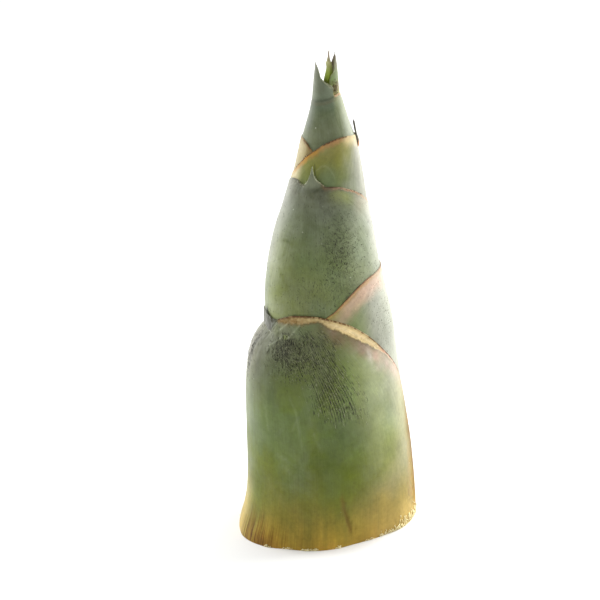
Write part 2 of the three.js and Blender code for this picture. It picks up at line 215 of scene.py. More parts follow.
def thickness(s, a, z, margin):
    up = np.clip((z - s["foot"]) / (s["edge"](a) - s["foot"]), 0, 1)
    full = s["thick"][0] + (s["thick"][1] - s["thick"][0]) * up
    return s["thick"][2] + (full - s["thick"][2]) * (1 - np.exp(-np.maximum(0, margin) / 17.0))


def depth(n, a, z, own=None):
    """What lies between the outline and layer n at (a, z); own is the layer's own unwrapped angle."""
    total = np.zeros(np.broadcast(a, z).shape)
    a, z = np.broadcast_arrays(np.asarray(a, float), np.asarray(z, float))
    phi = (a + 180) % 360 - 180
    for i, s in enumerate(SHEATHS[:n + 1]):
        if i == n and own is None:
            continue
        for turn in (-360, 0, 360):
            b = phi + turn
            near = (b >= s["low"] - 45) & (b <= s["high"] + 45) & (z >= s["foot"])
            if i == n:
                near &= (b > own + 1) if s["over"] == "high" else (b < own - 1)
            if not near.any():
                continue
            m = inside(s, b[near], z[near])
            w = 1 - step(0.0, 22.0, -m)
            total[near] += w * (thickness(s, b[near], z[near], m) + GAP)
    return total


for s in SHEATHS:
    c = Curve(s["top"])
    s["low"], s["high"] = s["top"][0][0], s["top"][-1][0]
    s["peak"] = max(k[1] for k in s["top"])
    s["line"] = [(s["low"], s["foot"] - 60)] + list(s["top"]) + [(s["high"], s["foot"] - 60)]
    s["edge"] = lambda a, c=c, s=s: c(np.clip(a, s["low"], s["high"]))
    if s["crest"]:
        k = Curve(s["crest"])
        lo, hi = s["crest"][0][0], s["crest"][-1][0]
        s["rise"] = lambda a, k=k, lo=lo, hi=hi: np.where((a > lo) & (a < hi), np.maximum(k(np.clip(a, lo, hi)), 0), 0)
        s["crest_range"] = (lo, hi)
    else:
        s["rise"] = lambda a: np.zeros_like(np.asarray(a, float))


def cover(n, a):
    """The height up to which other layers hide sheath n at unwrapped angle a."""
    phi = (a + 180) % 360 - 180
    h = np.full(a.shape, -1.0)
    for i, s in enumerate(SHEATHS[:n + 1]):
        for turn in (-360, 0, 360):
            b = phi + turn
            ok = (b >= s["low"]) & (b <= s["high"])
            if i == n:
                ok &= (b > a + 1) if s["over"] == "high" else (b < a - 1)
            h = np.where(ok, np.maximum(h, s["edge"](b)), h)
    return h


def veins(s, a, z):
    """Where a point lies across the veins, -1 to 1 from margin to margin, 0 on the blade's vein."""
    if "vein_tables" not in s:
        zs = np.linspace(s["foot"], s["edge"](np.linspace(s["low"], s["high"], 400)).max() + 2, 120)
        us = np.linspace(s["low"], s["high"], 900)
        tops = s["edge"](us)
        right = np.array([max([u for u in us[tops >= h]] + [s["apex"]]) for h in zs]) - s["apex"]
        left = s["apex"] - np.array([min([u for u in us[tops >= h]] + [s["apex"]]) for h in zs])
        out = []
        for w in (left, right):
            w = np.maximum(w, 24.0)
            w = np.convolve(np.pad(w, 4, mode="edge"), np.ones(9) / 9, mode="valid")
            out.append(w)
        s["vein_tables"] = (zs, out[0], out[1])
    zs, left, right = s["vein_tables"]
    d = a - s["apex"]
    return np.where(d < 0, d / np.interp(z, zs, left), d / np.interp(z, zs, right))


# ------------------------------------------------------------------ meshes
def make_object(name, verts, faces, attributes=None, smooth=True, sharp=50.0):
    mesh = bpy.data.meshes.new(name)
    verts = np.asarray(verts, float) / 1000.0
    mesh.from_pydata([], [], [])
    mesh.vertices.add(len(verts))
    mesh.vertices.foreach_set("co", verts.ravel())
    tri = [np.asarray(f, np.int64) for f in faces if len(f)]
    loops = np.concatenate([f.ravel() for f in tri])
    sizes = np.concatenate([np.full(len(f), f.shape[1]) for f in tri])
    mesh.loops.add(len(loops))
    mesh.loops.foreach_set("vertex_index", loops)
    mesh.polygons.add(len(sizes))
    mesh.polygons.foreach_set("loop_start", np.concatenate([[0], np.cumsum(sizes)[:-1]]))
    mesh.polygons.foreach_set("loop_total", sizes)
    mesh.update(calc_edges=True)
    mesh.validate()
    if smooth:
        mesh.polygons.foreach_set("use_smooth", np.ones(len(mesh.polygons), bool))
        mesh.set_sharp_from_angle(angle=math.radians(sharp))
    for key, values in (attributes or {}).items():
        values = np.asarray(values, float)
        if values.ndim == 1:
            mesh.attributes.new(key, "FLOAT", "POINT").data.foreach_set("value", values.astype(np.float32))
        elif key == "col":
            rgba = np.concatenate([values, np.ones((len(values), 1))], 1)
            mesh.attributes.new(key, "FLOAT_COLOR", "POINT").data.foreach_set("color", rgba.astype(np.float32).ravel())
        else:
            mesh.attributes.new(key, "FLOAT_VECTOR", "POINT").data.foreach_set("vector", values.astype(np.float32).ravel())
    obj = bpy.data.objects.new(name, mesh)
    bpy.context.scene.collection.objects.link(obj)
    return obj


def grid_faces(nc, nr, base=0, flip=False):
    i, j = np.meshgrid(np.arange(nc - 1), np.arange(nr - 1), indexing="ij")
    a, b, c, d = base + i * nr + j, base + (i + 1) * nr + j, base + (i + 1) * nr + j + 1, base + i * nr + j + 1
    q = np.stack([a, b, c, d], -1).reshape(-1, 4)
    return q[:, ::-1] if flip else q


def zip_strip(p, q, flip=False):
    """Triangles between two lines of vertices of unequal length that share their first and last."""
    out, i, j = [], 0, 0
    while i < len(p) - 1 or j < len(q) - 1:
        if j == len(q) - 1 or (i < len(p) - 1 and (i + 1) / (len(p) - 1) <= (j + 1) / (len(q) - 1)):
            out.append((p[i], q[j], p[i + 1]))
            i += 1
        else:
            out.append((p[i], q[j], q[j + 1]))
            j += 1
    out = np.array(out)
    return out[:, ::-1] if flip else out


def sheath_columns(s, n):
    """Unwrapped angles of the columns: close where the sheath shows, closest at its blade."""
    fine = 0.72 if n == 0 else 1.0 if n < 4 else 1.4
    a = [s["low"]]
    while a[-1] < s["high"] - 0.2:
        u = a[-1]
        phi = (u + 180) % 360 - 180
        d = fine if -115 <= phi <= 115 else fine * 1.7
        if s["crest"]:
            lo, hi = s["crest_range"]
            if n != 4 and lo - 3 < u < hi + 3:
                d = min(d, (hi - lo) / 46.0)
            elif n == 4 and lo < u < hi:
                d = min(d, 1.2)
                if 15 < u < 26:
                    d = 0.35
        if n == 5 and -2 < u < 60:
            d = 0.75
        hidden = cover(n, np.array([u]))[0] > s["edge"](u) + 3
        if hidden:
            d = max(d, 3.0)
        a.append(u + d)
    a[-1] = s["high"]
    return np.array(a)


def sheath_rows(s, n, a, rows, low_rows):
    """Heights, columns by rows: few below the part that shows, close ones towards the top edge."""
    foot = s["foot"] + (0.2 if s["foot"] else 0.0)
    top = s["edge"](a) + s["rise"](a)
    hide = cover(n, a)
    k = np.clip(hide - 5, foot + 2, top - 0.35 * (top - foot)) if n else np.full(a.shape, foot)
    k = np.where(hide > top, foot + 0.45 * (top - foot), k)
    pad = 9
    k = np.convolve(np.pad(k, pad, mode="edge"), np.ones(2 * pad + 1) / (2 * pad + 1), mode="valid")
    k = np.clip(k, foot + (1.0 if n else 0), top - 2)
    v = np.linspace(0, 1, rows)
    v = v + 0.55 * (v * (1 - v)) * (0.35 + 0.65 * v)  # rows close up towards the top edge
    v = v / v[-1]
    up = k[:, None] + (top - k)[:, None] * v[None, :]
    if n:
        low = foot + (k - foot)[:, None] * np.linspace(0, 1, low_rows + 1)[None, :-1]
        return np.concatenate([low, up], 1), top
    return up, top


BODY = {}


def build_sheath(n, relief, paint, rows, low_rows=6, inner_rows=22):
    s = SHEATHS[n]
    a1 = sheath_columns(s, n)
    z, top = sheath_rows(s, n, a1, rows, low_rows)
    a = np.broadcast_to(a1[:, None], z.shape).copy()
    plain = s["edge"](a)
    m = inside(s, a, np.minimum(z, plain))
    below = np.where(z > plain, 0, m)
    t = thickness(s, a, z, below)
    r0 = outline(a, z) - depth(n, a, z, a)
    over = np.clip((z - plain) / np.maximum(s["rise"](s["apex"]) if s["crest"] else 1.0, 1.0), 0, 1.2)
    if s["lean"]:
        r0 = r0 + s["lean"] * over**1.25
    q = veins(s, a, z)
    env = dict(a=a, z=z, plain=plain, below=below, q=q, top=top[:, None] + 0 * z, over=over, r=r0, s=s, n=n, margin=m)
    dr = relief(env)
    r = r0 + dr
    outer = place(a, z, r)
    # inner grid
    nc, nr = z.shape
    vi = np.concatenate([np.linspace(0, 0.8, inner_rows // 2), np.linspace(0.8, 1, inner_rows - inner_rows // 2 + 1)[1:]])
    idx = np.interp(vi, np.linspace(0, 1, nr), np.arange(nr))
    lo = np.floor(idx).astype(int)
    hi = np.minimum(lo + 1, nr - 1)
    f = idx - lo
    zi = z[:, lo] * (1 - f) + z[:, hi] * f
    ri = (r[:, lo] - t[:, lo]) * (1 - f) + (r[:, hi] - t[:, hi]) * f
    tip = np.clip(s["rise"](a1) / 3.0, 0, 1)[:, None] * np.clip((zi - s["edge"](a1)[:, None]) / 3.0, 0, 1)
    ri = ri + tip * t[:, -1:] * 0.45  # a blade is thinner than its sheath's margin
    ai = np.broadcast_to(a1[:, None], zi.shape)
    inner = place(ai, zi, ri)
    ni = zi.shape[1]
    # a rounded ridge along the top edge
    mid = (outer[:, -1] + inner[:, -1]) / 2
    mid[:, 2] += 0.28 * np.linalg.norm(outer[:, -1] - inner[:, -1], axis=1)
    verts = np.concatenate([outer.reshape(-1, 3), inner.reshape(-1, 3), mid])
    io, ii, im = 0, nc * nr, nc * nr + nc * ni
    faces = [grid_faces(nc, nr, io), grid_faces(nc, ni, ii, flip=True)]
    k = np.arange(nc - 1)
    ot, it = io + k * nr + nr - 1, ii + k * ni + ni - 1
    faces.append(np.stack([ot, ot + nr, im + k + 1, im + k], -1))
    faces.append(np.stack([im + k, im + k + 1, it + ni, it], -1))
    ob, ib = io + k * nr, ii + k * ni
    faces.append(np.stack([ob + nr, ob, ib, ib + ni], -1))
    first = zip_strip(io + np.arange(nr), ii + np.arange(ni), flip=True)
    last = zip_strip(io + (nc - 1) * nr + np.arange(nr), ii + (nc - 1) * ni + np.arange(ni))
    faces += [first, last, np.array([[io + nr - 1, im, ii + ni - 1]]), np.array([[io + nc * nr - 1, ii + nc * ni - 1, im + nc - 1]])]
    masks = paint(env)
    near = np.clip(np.round(idx).astype(int), 0, nr - 1)
    attributes = {}
    for key, v in masks.items():
        flat = v.reshape(nc * nr, -1) if v.ndim == 3 else v.reshape(nc * nr)
        inn = v[:, near]
        inn = inn.reshape(nc * ni, -1) if v.ndim == 3 else inn.reshape(nc * ni)
        edge = v[:, -1]
        attributes[key] = np.concatenate([flat, inn, edge])
    # on the sixth sheath the inner colour is dark brown, partly painted shade inside its curl
    if "col" in attributes:  # the inner face is paler and shows only at the edges
        c = attributes["col"]
        c[nc * nr:nc * nr + nc * ni] = c[nc * nr:nc * nr + nc * ni] * 0.6 + s.get("inner_colour", lin(196, 196, 140)) * 0.4
    obj = make_object(s["name"] + "_skin", verts, faces, attributes)
    BODY[n] = dict(a=a1, z=z, r=r)
    return obj


# ------------------------------------------------------------------ camera
def look():
    e, t = math.radians(20.0), math.radians(6.0)
    fwd = np.array([0, math.cos(e), -math.sin(e)])
    r0, u0 = np.array([1.0, 0, 0]), np.array([0, math.sin(e), math.cos(e)])
    right, up = r0 * math.cos(t) - u0 * math.sin(t), r0 * math.sin(t) + u0 * math.cos(t)
    aim = np.array([-2.52133238, -1.94033815, 119.66896473])
    pos = (aim - fwd * 600 * 100 / 36 / 2) / 1000
    cam = bpy.data.cameras.new("camera")
    cam.lens, cam.sensor_width, cam.sensor_fit = 100, 36, "AUTO"
    cam.clip_start, cam.clip_end = 0.01, 50
    obj = bpy.data.objects.new("camera", cam)
    m = np.eye(4)
    m[:3, 0], m[:3, 1], m[:3, 2], m[:3, 3] = right, up, -fwd, pos
    from mathutils import Matrix
    obj.matrix_world = Matrix(m.tolist())
    bpy.context.scene.collection.objects.link(obj)
    bpy.context.scene.camera = obj


look()


# ------------------------------------------------------------------ materials
class Nodes:
    """Short hand for building a node tree."""
    def __init__(self, name):
        self.mat = bpy.data.materials.new(name)
        self.mat.use_nodes = True
        self.tree = self.mat.node_tree
        self.bsdf = self.tree.nodes["Principled BSDF"]

    def new(self, kind, **values):
        node = self.tree.nodes.new(kind)
        for k, v in values.items():
            setattr(node, k, v)
        return node

    def link(self, a, b):
        self.tree.links.new(a, b)

    def attribute(self, name):
        return self.new("ShaderNodeAttribute", attribute_name=name)

    def math(self, op, a, b=None, clamp=False):
        n = self.new("ShaderNodeMath", operation=op, use_clamp=clamp)
        for i, v in enumerate((a, b)):
            if v is None:
                continue
            if isinstance(v, (int, float)):
                n.inputs[i].default_value = v
            else:
                self.link(v, n.inputs[i])
        return n.outputs[0]

    def span(self, v, a, b, lo=0.0, hi=1.0, smooth=False):
        n = self.new("ShaderNodeMapRange", interpolation_type="SMOOTHSTEP" if smooth else "LINEAR")
        self.link(v, n.inputs["Value"])
        for k, x in zip(("From Min", "From Max", "To Min", "To Max"), (a, b, lo, hi)):
            n.inputs[k].default_value = x
        return n.outputs["Result"]

    def mix(self, fac, a, b, kind="MIX"):
        n = self.new("ShaderNodeMix", data_type="RGBA", blend_type=kind, clamp_factor=True)
        for sock, v in ((n.inputs["Factor"], fac), (n.inputs[6], a), (n.inputs[7], b)):
            if isinstance(v, (int, float)):
                sock.default_value = v
            elif isinstance(v, (tuple, list, np.ndarray)):
                sock.default_value = (*[float(x) for x in v][:3], 1.0)
            else:
                self.link(v, sock)
        return n.outputs[2]

    def scaled(self, vector, x, y, z):
        n = self.new("ShaderNodeVectorMath", operation="MULTIPLY")
        self.link(vector, n.inputs[0])
        n.inputs[1].default_value = (x, y, z)
        return n.outputs[0]

    def noise(self, vector, scale, detail=3.0, rough=0.55, distort=0.0):
        n = self.new("ShaderNodeTexNoise", noise_dimensions="3D")
        self.link(vector, n.inputs["Vector"])
        n.inputs["Scale"].default_value = scale
        n.inputs["Detail"].default_value = detail
        n.inputs["Roughness"].default_value = rough
        n.inputs["Distortion"].default_value = distort
        return n.outputs["Fac"]


def leaf(name, streak=0.22, mottle=0.2, rough=(0.42, 0.62), bloom_and_rim_light=lin(172, 178, 158), fleck=lin(42, 38, 26), sheen=0.5, bumps=1.0, spec=0.2, tint=0.10, rows=False):
    """Culm sheath: colour from the piece, with streaks along the veins, mottling, a grey waxy veil that on the flanks
    also stands for painted rim light, and flecks.
    """
    n = Nodes(name)
    col = n.attribute("col").outputs["Color"]
    vein = n.attribute("vein").outputs["Vector"]
    mask = n.new("ShaderNodeSeparateXYZ")
    n.link(n.attribute("mask").outputs["Vector"], mask.inputs[0])
    bl, fl, dry = mask.outputs[0], mask.outputs[1], mask.outputs[2]
    where = n.new("ShaderNodeTexCoord").outputs["Object"]
    wide = n.noise(n.scaled(vein, 0.35, 0.012, 1), 1.0, 4)
    fine = n.noise(n.scaled(vein, 1.6, 0.035, 1), 1.0, 3, 0.6)
    hair = n.noise(n.scaled(vein, 4.2, 0.11, 1), 1.0, 2, 0.6)
    cloud = n.noise(where, 55, 5, 0.6, 0.4)
    grit = n.noise(where, 520, 4, 0.65)
    f = n.math("MULTIPLY", n.span(wide, 0.3, 0.7, 1 - streak * 0.7, 1 + streak * 0.7), n.span(fine, 0.28, 0.72, 1 - streak, 1 + streak))
    f = n.math("MULTIPLY", f, n.span(hair, 0.3, 0.7, 1 - streak * 0.8, 1 + streak * 0.8))
    # the streaks are faint on fresh skin and plain where it is dry
    f = n.math("ADD", n.math("MULTIPLY", n.math("SUBTRACT", f, 1.0), n.span(dry, 0, 1, 0.32, 1.0)), 1.0)
    f = n.math("MULTIPLY", f, n.span(cloud, 0.3, 0.7, 1 - mottle, 1 + mottle))
    f = n.math("MULTIPLY", f, n.span(grit, 0.3, 0.7, 1 - mottle * 0.6, 1 + mottle * 0.6))
    grey = n.new("ShaderNodeCombineXYZ")
    for i in range(3):
        n.link(f, grey.inputs[i])
    c = n.mix(1.0, col, grey.outputs[0], "MULTIPLY")
    # hue drifts towards yellow-green
    drift = n.span(n.noise(where, 38, 3, 0.5), 0.35, 0.65)
    c = n.mix(n.math("MULTIPLY", drift, tint), c, lin(120, 124, 40))
    # a grey waxy veil, worn through in strokes and patches; where its mask rises on the flanks it is painted rim light
    veil = n.math("MULTIPLY", n.span(n.noise(where, 95, 6, 0.62, 0.6), 0.34, 0.68, 0.15, 1.0), n.span(fine, 0.25, 0.7, 0.5, 1.0))
    c = n.mix(n.math("MULTIPLY", n.math("MULTIPLY", veil, bl, True), 0.6), c, bloom_and_rim_light)
    # dark flecks and pale ones between them, drawn out along the veins
    dots = n.noise(n.scaled(vein, 4.6, 1.5, 1), 1.0, 2, 0.5)
    c = n.mix(n.math("MULTIPLY", n.math("MULTIPLY", n.span(dots, 0.55, 0.70, 0, 1, True), fl, True), 0.75), c, fleck)
    c = n.mix(n.math("MULTIPLY", n.math("MULTIPLY", n.span(dots, 0.46, 0.34, 0, 1, True), fl, True), 0.35), c, lin(150, 156, 124))
    if rows:  # brown lines up from the cut
        burnt = n.noise(n.scaled(vein, 2.0, 0.045, 1), 1.0, 3, 0.6)
        burnt = n.math("MULTIPLY", n.span(burnt, 0.47, 0.62, 0, 1), n.attribute("burn").outputs["Fac"], True)
        c = n.mix(n.math("MULTIPLY", burnt, 0.9), c, lin(74, 38, 8))
    if rows:  # fine dark and pale lines side by side, broken along their length
        lane = n.attribute("rows").outputs["Fac"]
        wander = n.noise(n.scaled(vein, 0.12, 0.02, 1), 1.0, 2)
        parts = n.new("ShaderNodeSeparateXYZ")
        n.link(vein, parts.inputs[0])
        wave = n.math("SINE", n.math("ADD", n.math("MULTIPLY", parts.outputs[0], 2 * math.pi / 0.95), n.math("MULTIPLY", wander, 14.0)))
        wave2 = n.math("SINE", n.math("ADD", n.math("MULTIPLY", parts.outputs[0], 2 * math.pi / 2.9), n.math("MULTIPLY", wander, 9.0)))
        broken = n.span(n.noise(n.scaled(vein, 0.9, 0.22, 1), 1.0, 3, 0.6), 0.40, 0.62)
        dark = n.math("MULTIPLY", n.span(wave, 0.2, 0.95, 0, 1), n.math("MULTIPLY", broken, n.span(wave2, -1.0, 1.0, 0.45, 1.0)))
        c = n.mix(n.math("MULTIPLY", n.math("MULTIPLY", dark, lane, True), 0.8), c, lin(44, 48, 26))
        light = n.math("MULTIPLY", n.span(wave, -0.2, -0.95, 0, 1), n.span(broken, 0, 1, 0.4, 1.0))
        c = n.mix(n.math("MULTIPLY", n.math("MULTIPLY", light, lane, True), 0.33), c, lin(156, 166, 118))
    # tiny pale specks
    speck = n.new("ShaderNodeTexVoronoi", feature="F1")
    n.link(where, speck.inputs["Vector"])
    speck.inputs["Scale"].default_value = 230
    on = n.math("MULTIPLY", n.span(speck.outputs["Distance"], 0.05, 0.10, 1, 0, True), n.span(n.noise(where, 160, 2), 0.58, 0.64, 0, 0.5))
    c = n.mix(on, c, lin(205, 205, 185))
    n.link(c, n.bsdf.inputs["Base Color"])
    rr = n.span(n.noise(where, 140, 4), 0.3, 0.7, rough[0], rough[1])
    n.link(n.math("ADD", n.math("ADD", rr, n.math("MULTIPLY", bl, 0.12)), n.math("MULTIPLY", dry, 0.2), True), n.bsdf.inputs["Roughness"])
    if rows:
        bare = n.attribute("bare").outputs["Fac"]
        n.link(n.span(bare, 0, 1, spec, spec * 0.2), n.bsdf.inputs["Specular IOR Level"])
        n.link(n.span(bare, 0, 1, sheen, 0.0), n.bsdf.inputs["Sheen Weight"])
    else:
        n.bsdf.inputs["Specular IOR Level"].default_value = spec
        n.bsdf.inputs["Sheen Weight"].default_value = sheen
    n.bsdf.inputs["Sheen Roughness"].default_value = 0.35
    h = n.math("ADD", n.math("MULTIPLY", fine, 0.6), n.math("MULTIPLY", hair, 0.35))
    h = n.math("MULTIPLY", h, n.span(dry, 0, 1, 0.45, 1.0))
    h = n.math("ADD", h, n.math("MULTIPLY", grit, 0.3))
    b = n.new("ShaderNodeBump")
    b.inputs["Strength"].default_value = 0.55 * bumps
    b.inputs["Distance"].default_value = 0.00022
    n.link(h, b.inputs["Height"])
    n.link(b.outputs[0], n.bsdf.inputs["Normal"])
    return n.mat


def plain_fibre(name, colour, dark, rough=0.6, scale=900):
    n = Nodes(name)
    where = n.new("ShaderNodeTexCoord").outputs["Object"]
    f = n.span(n.noise(where, scale, 3), 0.3, 0.7)
    n.link(n.mix(f, dark, colour), n.bsdf.inputs["Base Color"])
    n.link(n.span(n.noise(where, scale * 0.6, 2), 0.3, 0.7, rough - 0.1, rough + 0.1), n.bsdf.inputs["Roughness"])
    return n.mat


def flesh_material():
    """Cut flesh: cream, with a paler rind, scattered vascular bundles and knife marks."""
    n = Nodes("cut_flesh")
    where = n.new("ShaderNodeTexCoord").outputs["Object"]
    ring = n.attribute("ring").outputs["Fac"]
    flat = n.scaled(where, 1, 1, 0)
    c = n.mix(n.span(ring, 0.0, 1.0), lin(238, 228, 178), lin(205, 196, 118))
    c = n.mix(n.math("MULTIPLY", n.span(n.noise(where, 70, 5, 0.6), 0.35, 0.7), 0.35), c, lin(226, 203, 140))
    dots = n.new("ShaderNodeTexVoronoi", feature="F1")
    n.link(flat, dots.inputs["Vector"])
    dots.inputs["Scale"].default_value = 520
    d = n.span(dots.outputs["Distance"], 0.16, 0.3, 1, 0, True)
    c = n.mix(n.math("MULTIPLY", d, n.span(ring, 0.1, 0.95, 0.25, 0.75)), c, lin(168, 140, 82))
    brown = n.math("MULTIPLY", n.span(ring, 0.86, 1.0, 0, 0.75, True), n.span(n.noise(where, 200, 4), 0.35, 0.6))
    c = n.mix(brown, c, lin(140, 96, 44))
    n.link(c, n.bsdf.inputs["Base Color"])
    n.link(n.span(n.noise(where, 300, 3), 0.3, 0.7, 0.38, 0.6), n.bsdf.inputs["Roughness"])
    n.bsdf.inputs["Subsurface Weight"].default_value = 0.12
    n.bsdf.inputs["Subsurface Radius"].default_value = (0.004, 0.0025, 0.001)
    cut = n.noise(n.scaled(where, 1, 0.06, 1), 420, 3)
    b = n.new("ShaderNodeBump")
    b.inputs["Strength"].default_value = 0.5
    b.inputs["Distance"].default_value = 0.0002
    n.link(n.math("ADD", cut, n.math("MULTIPLY", d, 0.5)), b.inputs["Height"])
    n.link(b.outputs[0], n.bsdf.inputs["Normal"])
    return n.mat


# ------------------------------------------------------------------ colours and relief of each sheath
class Ramp:
    def __init__(self, stops):
        self.x = [s[0] for s in stops]
        self.c = np.array([lin(*s[1]) for s in stops])

    def __call__(self, v):
        return np.stack([np.interp(v, self.x, self.c[:, k]) for k in range(3)], -1)


def xyz(e):
    p = place(e["a"], e["z"], e["r"])
    return p[..., 0], p[..., 1], p[..., 2]


def common_relief(e, rib=0.05, wave=0.22, pitch=1.5):
    s = e["s"]
    x, y, z = xyz(e)
    across = e["q"] * s["reach"]
    ribs = fbm(across / pitch, z / 60.0, 0, 11 + e["n"], 3) * rib
    wide = fbm(across / (pitch * 4.5), z / 90.0, 3, 17 + e["n"], 2) * rib * 1.6
    swell = fbm(x / 22, y / 22, z / 34, 23 + e["n"], 3) * wave
    fade = step(0, 3.0, np.abs(e["margin"]))
    return (ribs + wide) * (0.35 + 0.65 * fade) + swell * (0.3 + 0.7 * step(0, 8, e["below"]))


def shade(col, a, z, areas):
    """Lighter and darker areas of a skin, partly its own tone and partly painted light and shade: angle, its spread,
    height, its spread, share of the light kept.
    """
    for a0, wa, z0, wz, share in areas:
        g = np.exp(-np.abs((a - a0) / wa) ** 2.4 - np.abs((z - z0) / wz) ** 2.4) * (0.9 + 0.5 * fbm(a / 9, z / 7, 0, 160 + int(abs(a0)), 2))
        col = col * np.clip(1 + (share - 1) * g, 0.3, 1.8)[..., None]
    return col


def around(a):
    """The far side has the colours of the near side's middle, and its flanks fade into them."""
    return np.interp(a, [-400, -165, -125, -92, 92, 125, 170, 400], [-20, -20, -50, -92, 92, 52, 14, 14])


def stroke(a, z, points, width, per_degree=0.72):
    """1 on a line through points (angle, height), falling to 0 over width in millimetres."""
    best = np.full(np.shape(a), 1e9)
    for (a0, z0), (a1, z1) in zip(points[:-1], points[1:]):
        dx, dz = (a1 - a0) * per_degree, z1 - z0
        t = np.clip((((a - a0) * per_degree) * dx + (z - z0) * dz) / (dx * dx + dz * dz), 0, 1)
        best = np.minimum(best, np.hypot((a - a0) * per_degree - t * dx, z - z0 - t * dz))
    return np.exp(-((best / width) ** 2))


def vein_vector(e):
    return np.stack([e["q"] * e["s"]["reach"], e["z"], np.full(e["z"].shape, 10.0 * e["n"])], -1)


for s in SHEATHS:
    s["reach"] = 95.0 if s["name"] == "sheath_1" else 70.0 if s["name"] in ("sheath_2", "sheath_3") else 55.0

BAND = Curve([(-62, 0.4), (-55, 0.9), (-50, 1.7), (-43, 2.7), (-35, 3.7), (-28, 3.7), (-21, 3.4), (-13, 2.7), (-8, 2.1), (-5, 2.3), (-1, 3.4),
              (4, 3.9), (9, 4.0), (18, 4.6), (27, 4.4), (35, 3.7), (43, 2.9), (49, 1.8), (55, 1.1), (64, 0.9), (80, 0.7), (93, 0.6)])


def band_width(a, z):
    w = BAND(np.clip(a, -62, 93))
    w = w + fbm(a / 2.2, z / 1.5, 0, 5, 3) * 0.5 + fbm(a / 0.8, z / 0.7, 0, 6, 2) * 0.25 + 0.5 * fbm(a / 3.5, 0, 0, 7, 2) * step(-18, -30, a)
    return np.where(a < -62, 0.5, np.maximum(w, 0.25))


def ligule_1(a):
    """Height of the line under the blade of sheath_1."""
    return np.interp(a, [-100, -87, -76, -70, -64, -60, -54, -50, -46], [109.6, 109.8, 109.4, 108.7, 108.3, 110.8, 114.3, 116.8, 119.5])


def crease_line(z):
    return np.interp(z, [5, 8.5, 14, 20, 27.5, 30], [14.5, 13.2, 10.6, 8.6, 7.0, 6.4]) + fbm(z / 5.0, 0, 0, 61, 2) * 0.9


SCRATCHES = [[(-26.5, 114.9), (-32, 111.6), (-38.5, 108.0)], [(-40.2, 115.0), (-46, 112.4), (-52.6, 110.2)], [(-46, 108), (-56, 103.5)],
             [(-30, 80.5), (-25, 73), (-22, 60), (-20.5, 54)], [(-24, 70), (-29, 63)], [(-41.7, 50.0), (-31, 46.6), (-17.2, 42.0)], [(-36, 44), (-28, 39)],
             [(-12, 62), (-7, 52)], [(-52, 74), (-49, 62)], [(20, 100), (26, 94), (30, 92)]]


def relief_1(e):
    a, z, b = e["a"], e["z"], e["below"]
    r = common_relief(e, 0.04, 0.30)
    bw = band_width(a, z)
    band = step(0.3, -0.2, b - bw) * ((a > -62) & (a < 94))
    lip = np.exp(-(((b - bw - 0.45) / 0.55) ** 2)) * step(-60, -52, a) * step(76, 60, a)
    r = r - 0.26 * band + 0.14 * lip + band * 0.07 * fbm(a * 1.4, z * 0.9, 0, 45, 3)
    # the foot of the blade stands off, above a folded line
    d = z - ligule_1(a)
    on = step(-88, -84, a) * step(-50, -54, a)
    r = r + on * (0.45 * step(-0.3, 0.5, d) - 0.35 * bump(-0.6, 0.5, d))
    crumple = bump(-68, 22, a) * bump(107, 9, z)
    r = r + crumple * 0.55 * fbm(a / 5.0, z / 5.5, 0, 41, 3)
    for line in SCRATCHES[:4]:
        r = r + 0.16 * stroke(a, z, line, 0.7)
    # fibres swell and split towards the cut
    across = e["q"] * e["s"]["reach"]
    r = r + (0.035 + 0.05 * step(0, -36, a)) * step(26, 4, z) * fbm(across / 1.1, z / 14, 1, 51, 3)
    # a long crease low on the front
    r = r - 0.32 * bump(0, 1.4, a - crease_line(z)) * step(5, 10, z) * step(30, 24, z)
    return r


GREEN_1 = Ramp([(-4, (190, 150, 62)), (2, (170, 140, 54)), (8, (148, 127, 50)), (15, (124, 113, 44)), (23, (108, 107, 38)), (32, (96, 102, 30)), (42, (92, 101, 24)), (55, (88, 101, 24)),
                (70, (87, 101, 26)), (85, (84, 97, 34)), (100, (84, 92, 44)), (112, (88, 92, 54)), (124, (90, 92, 56))])


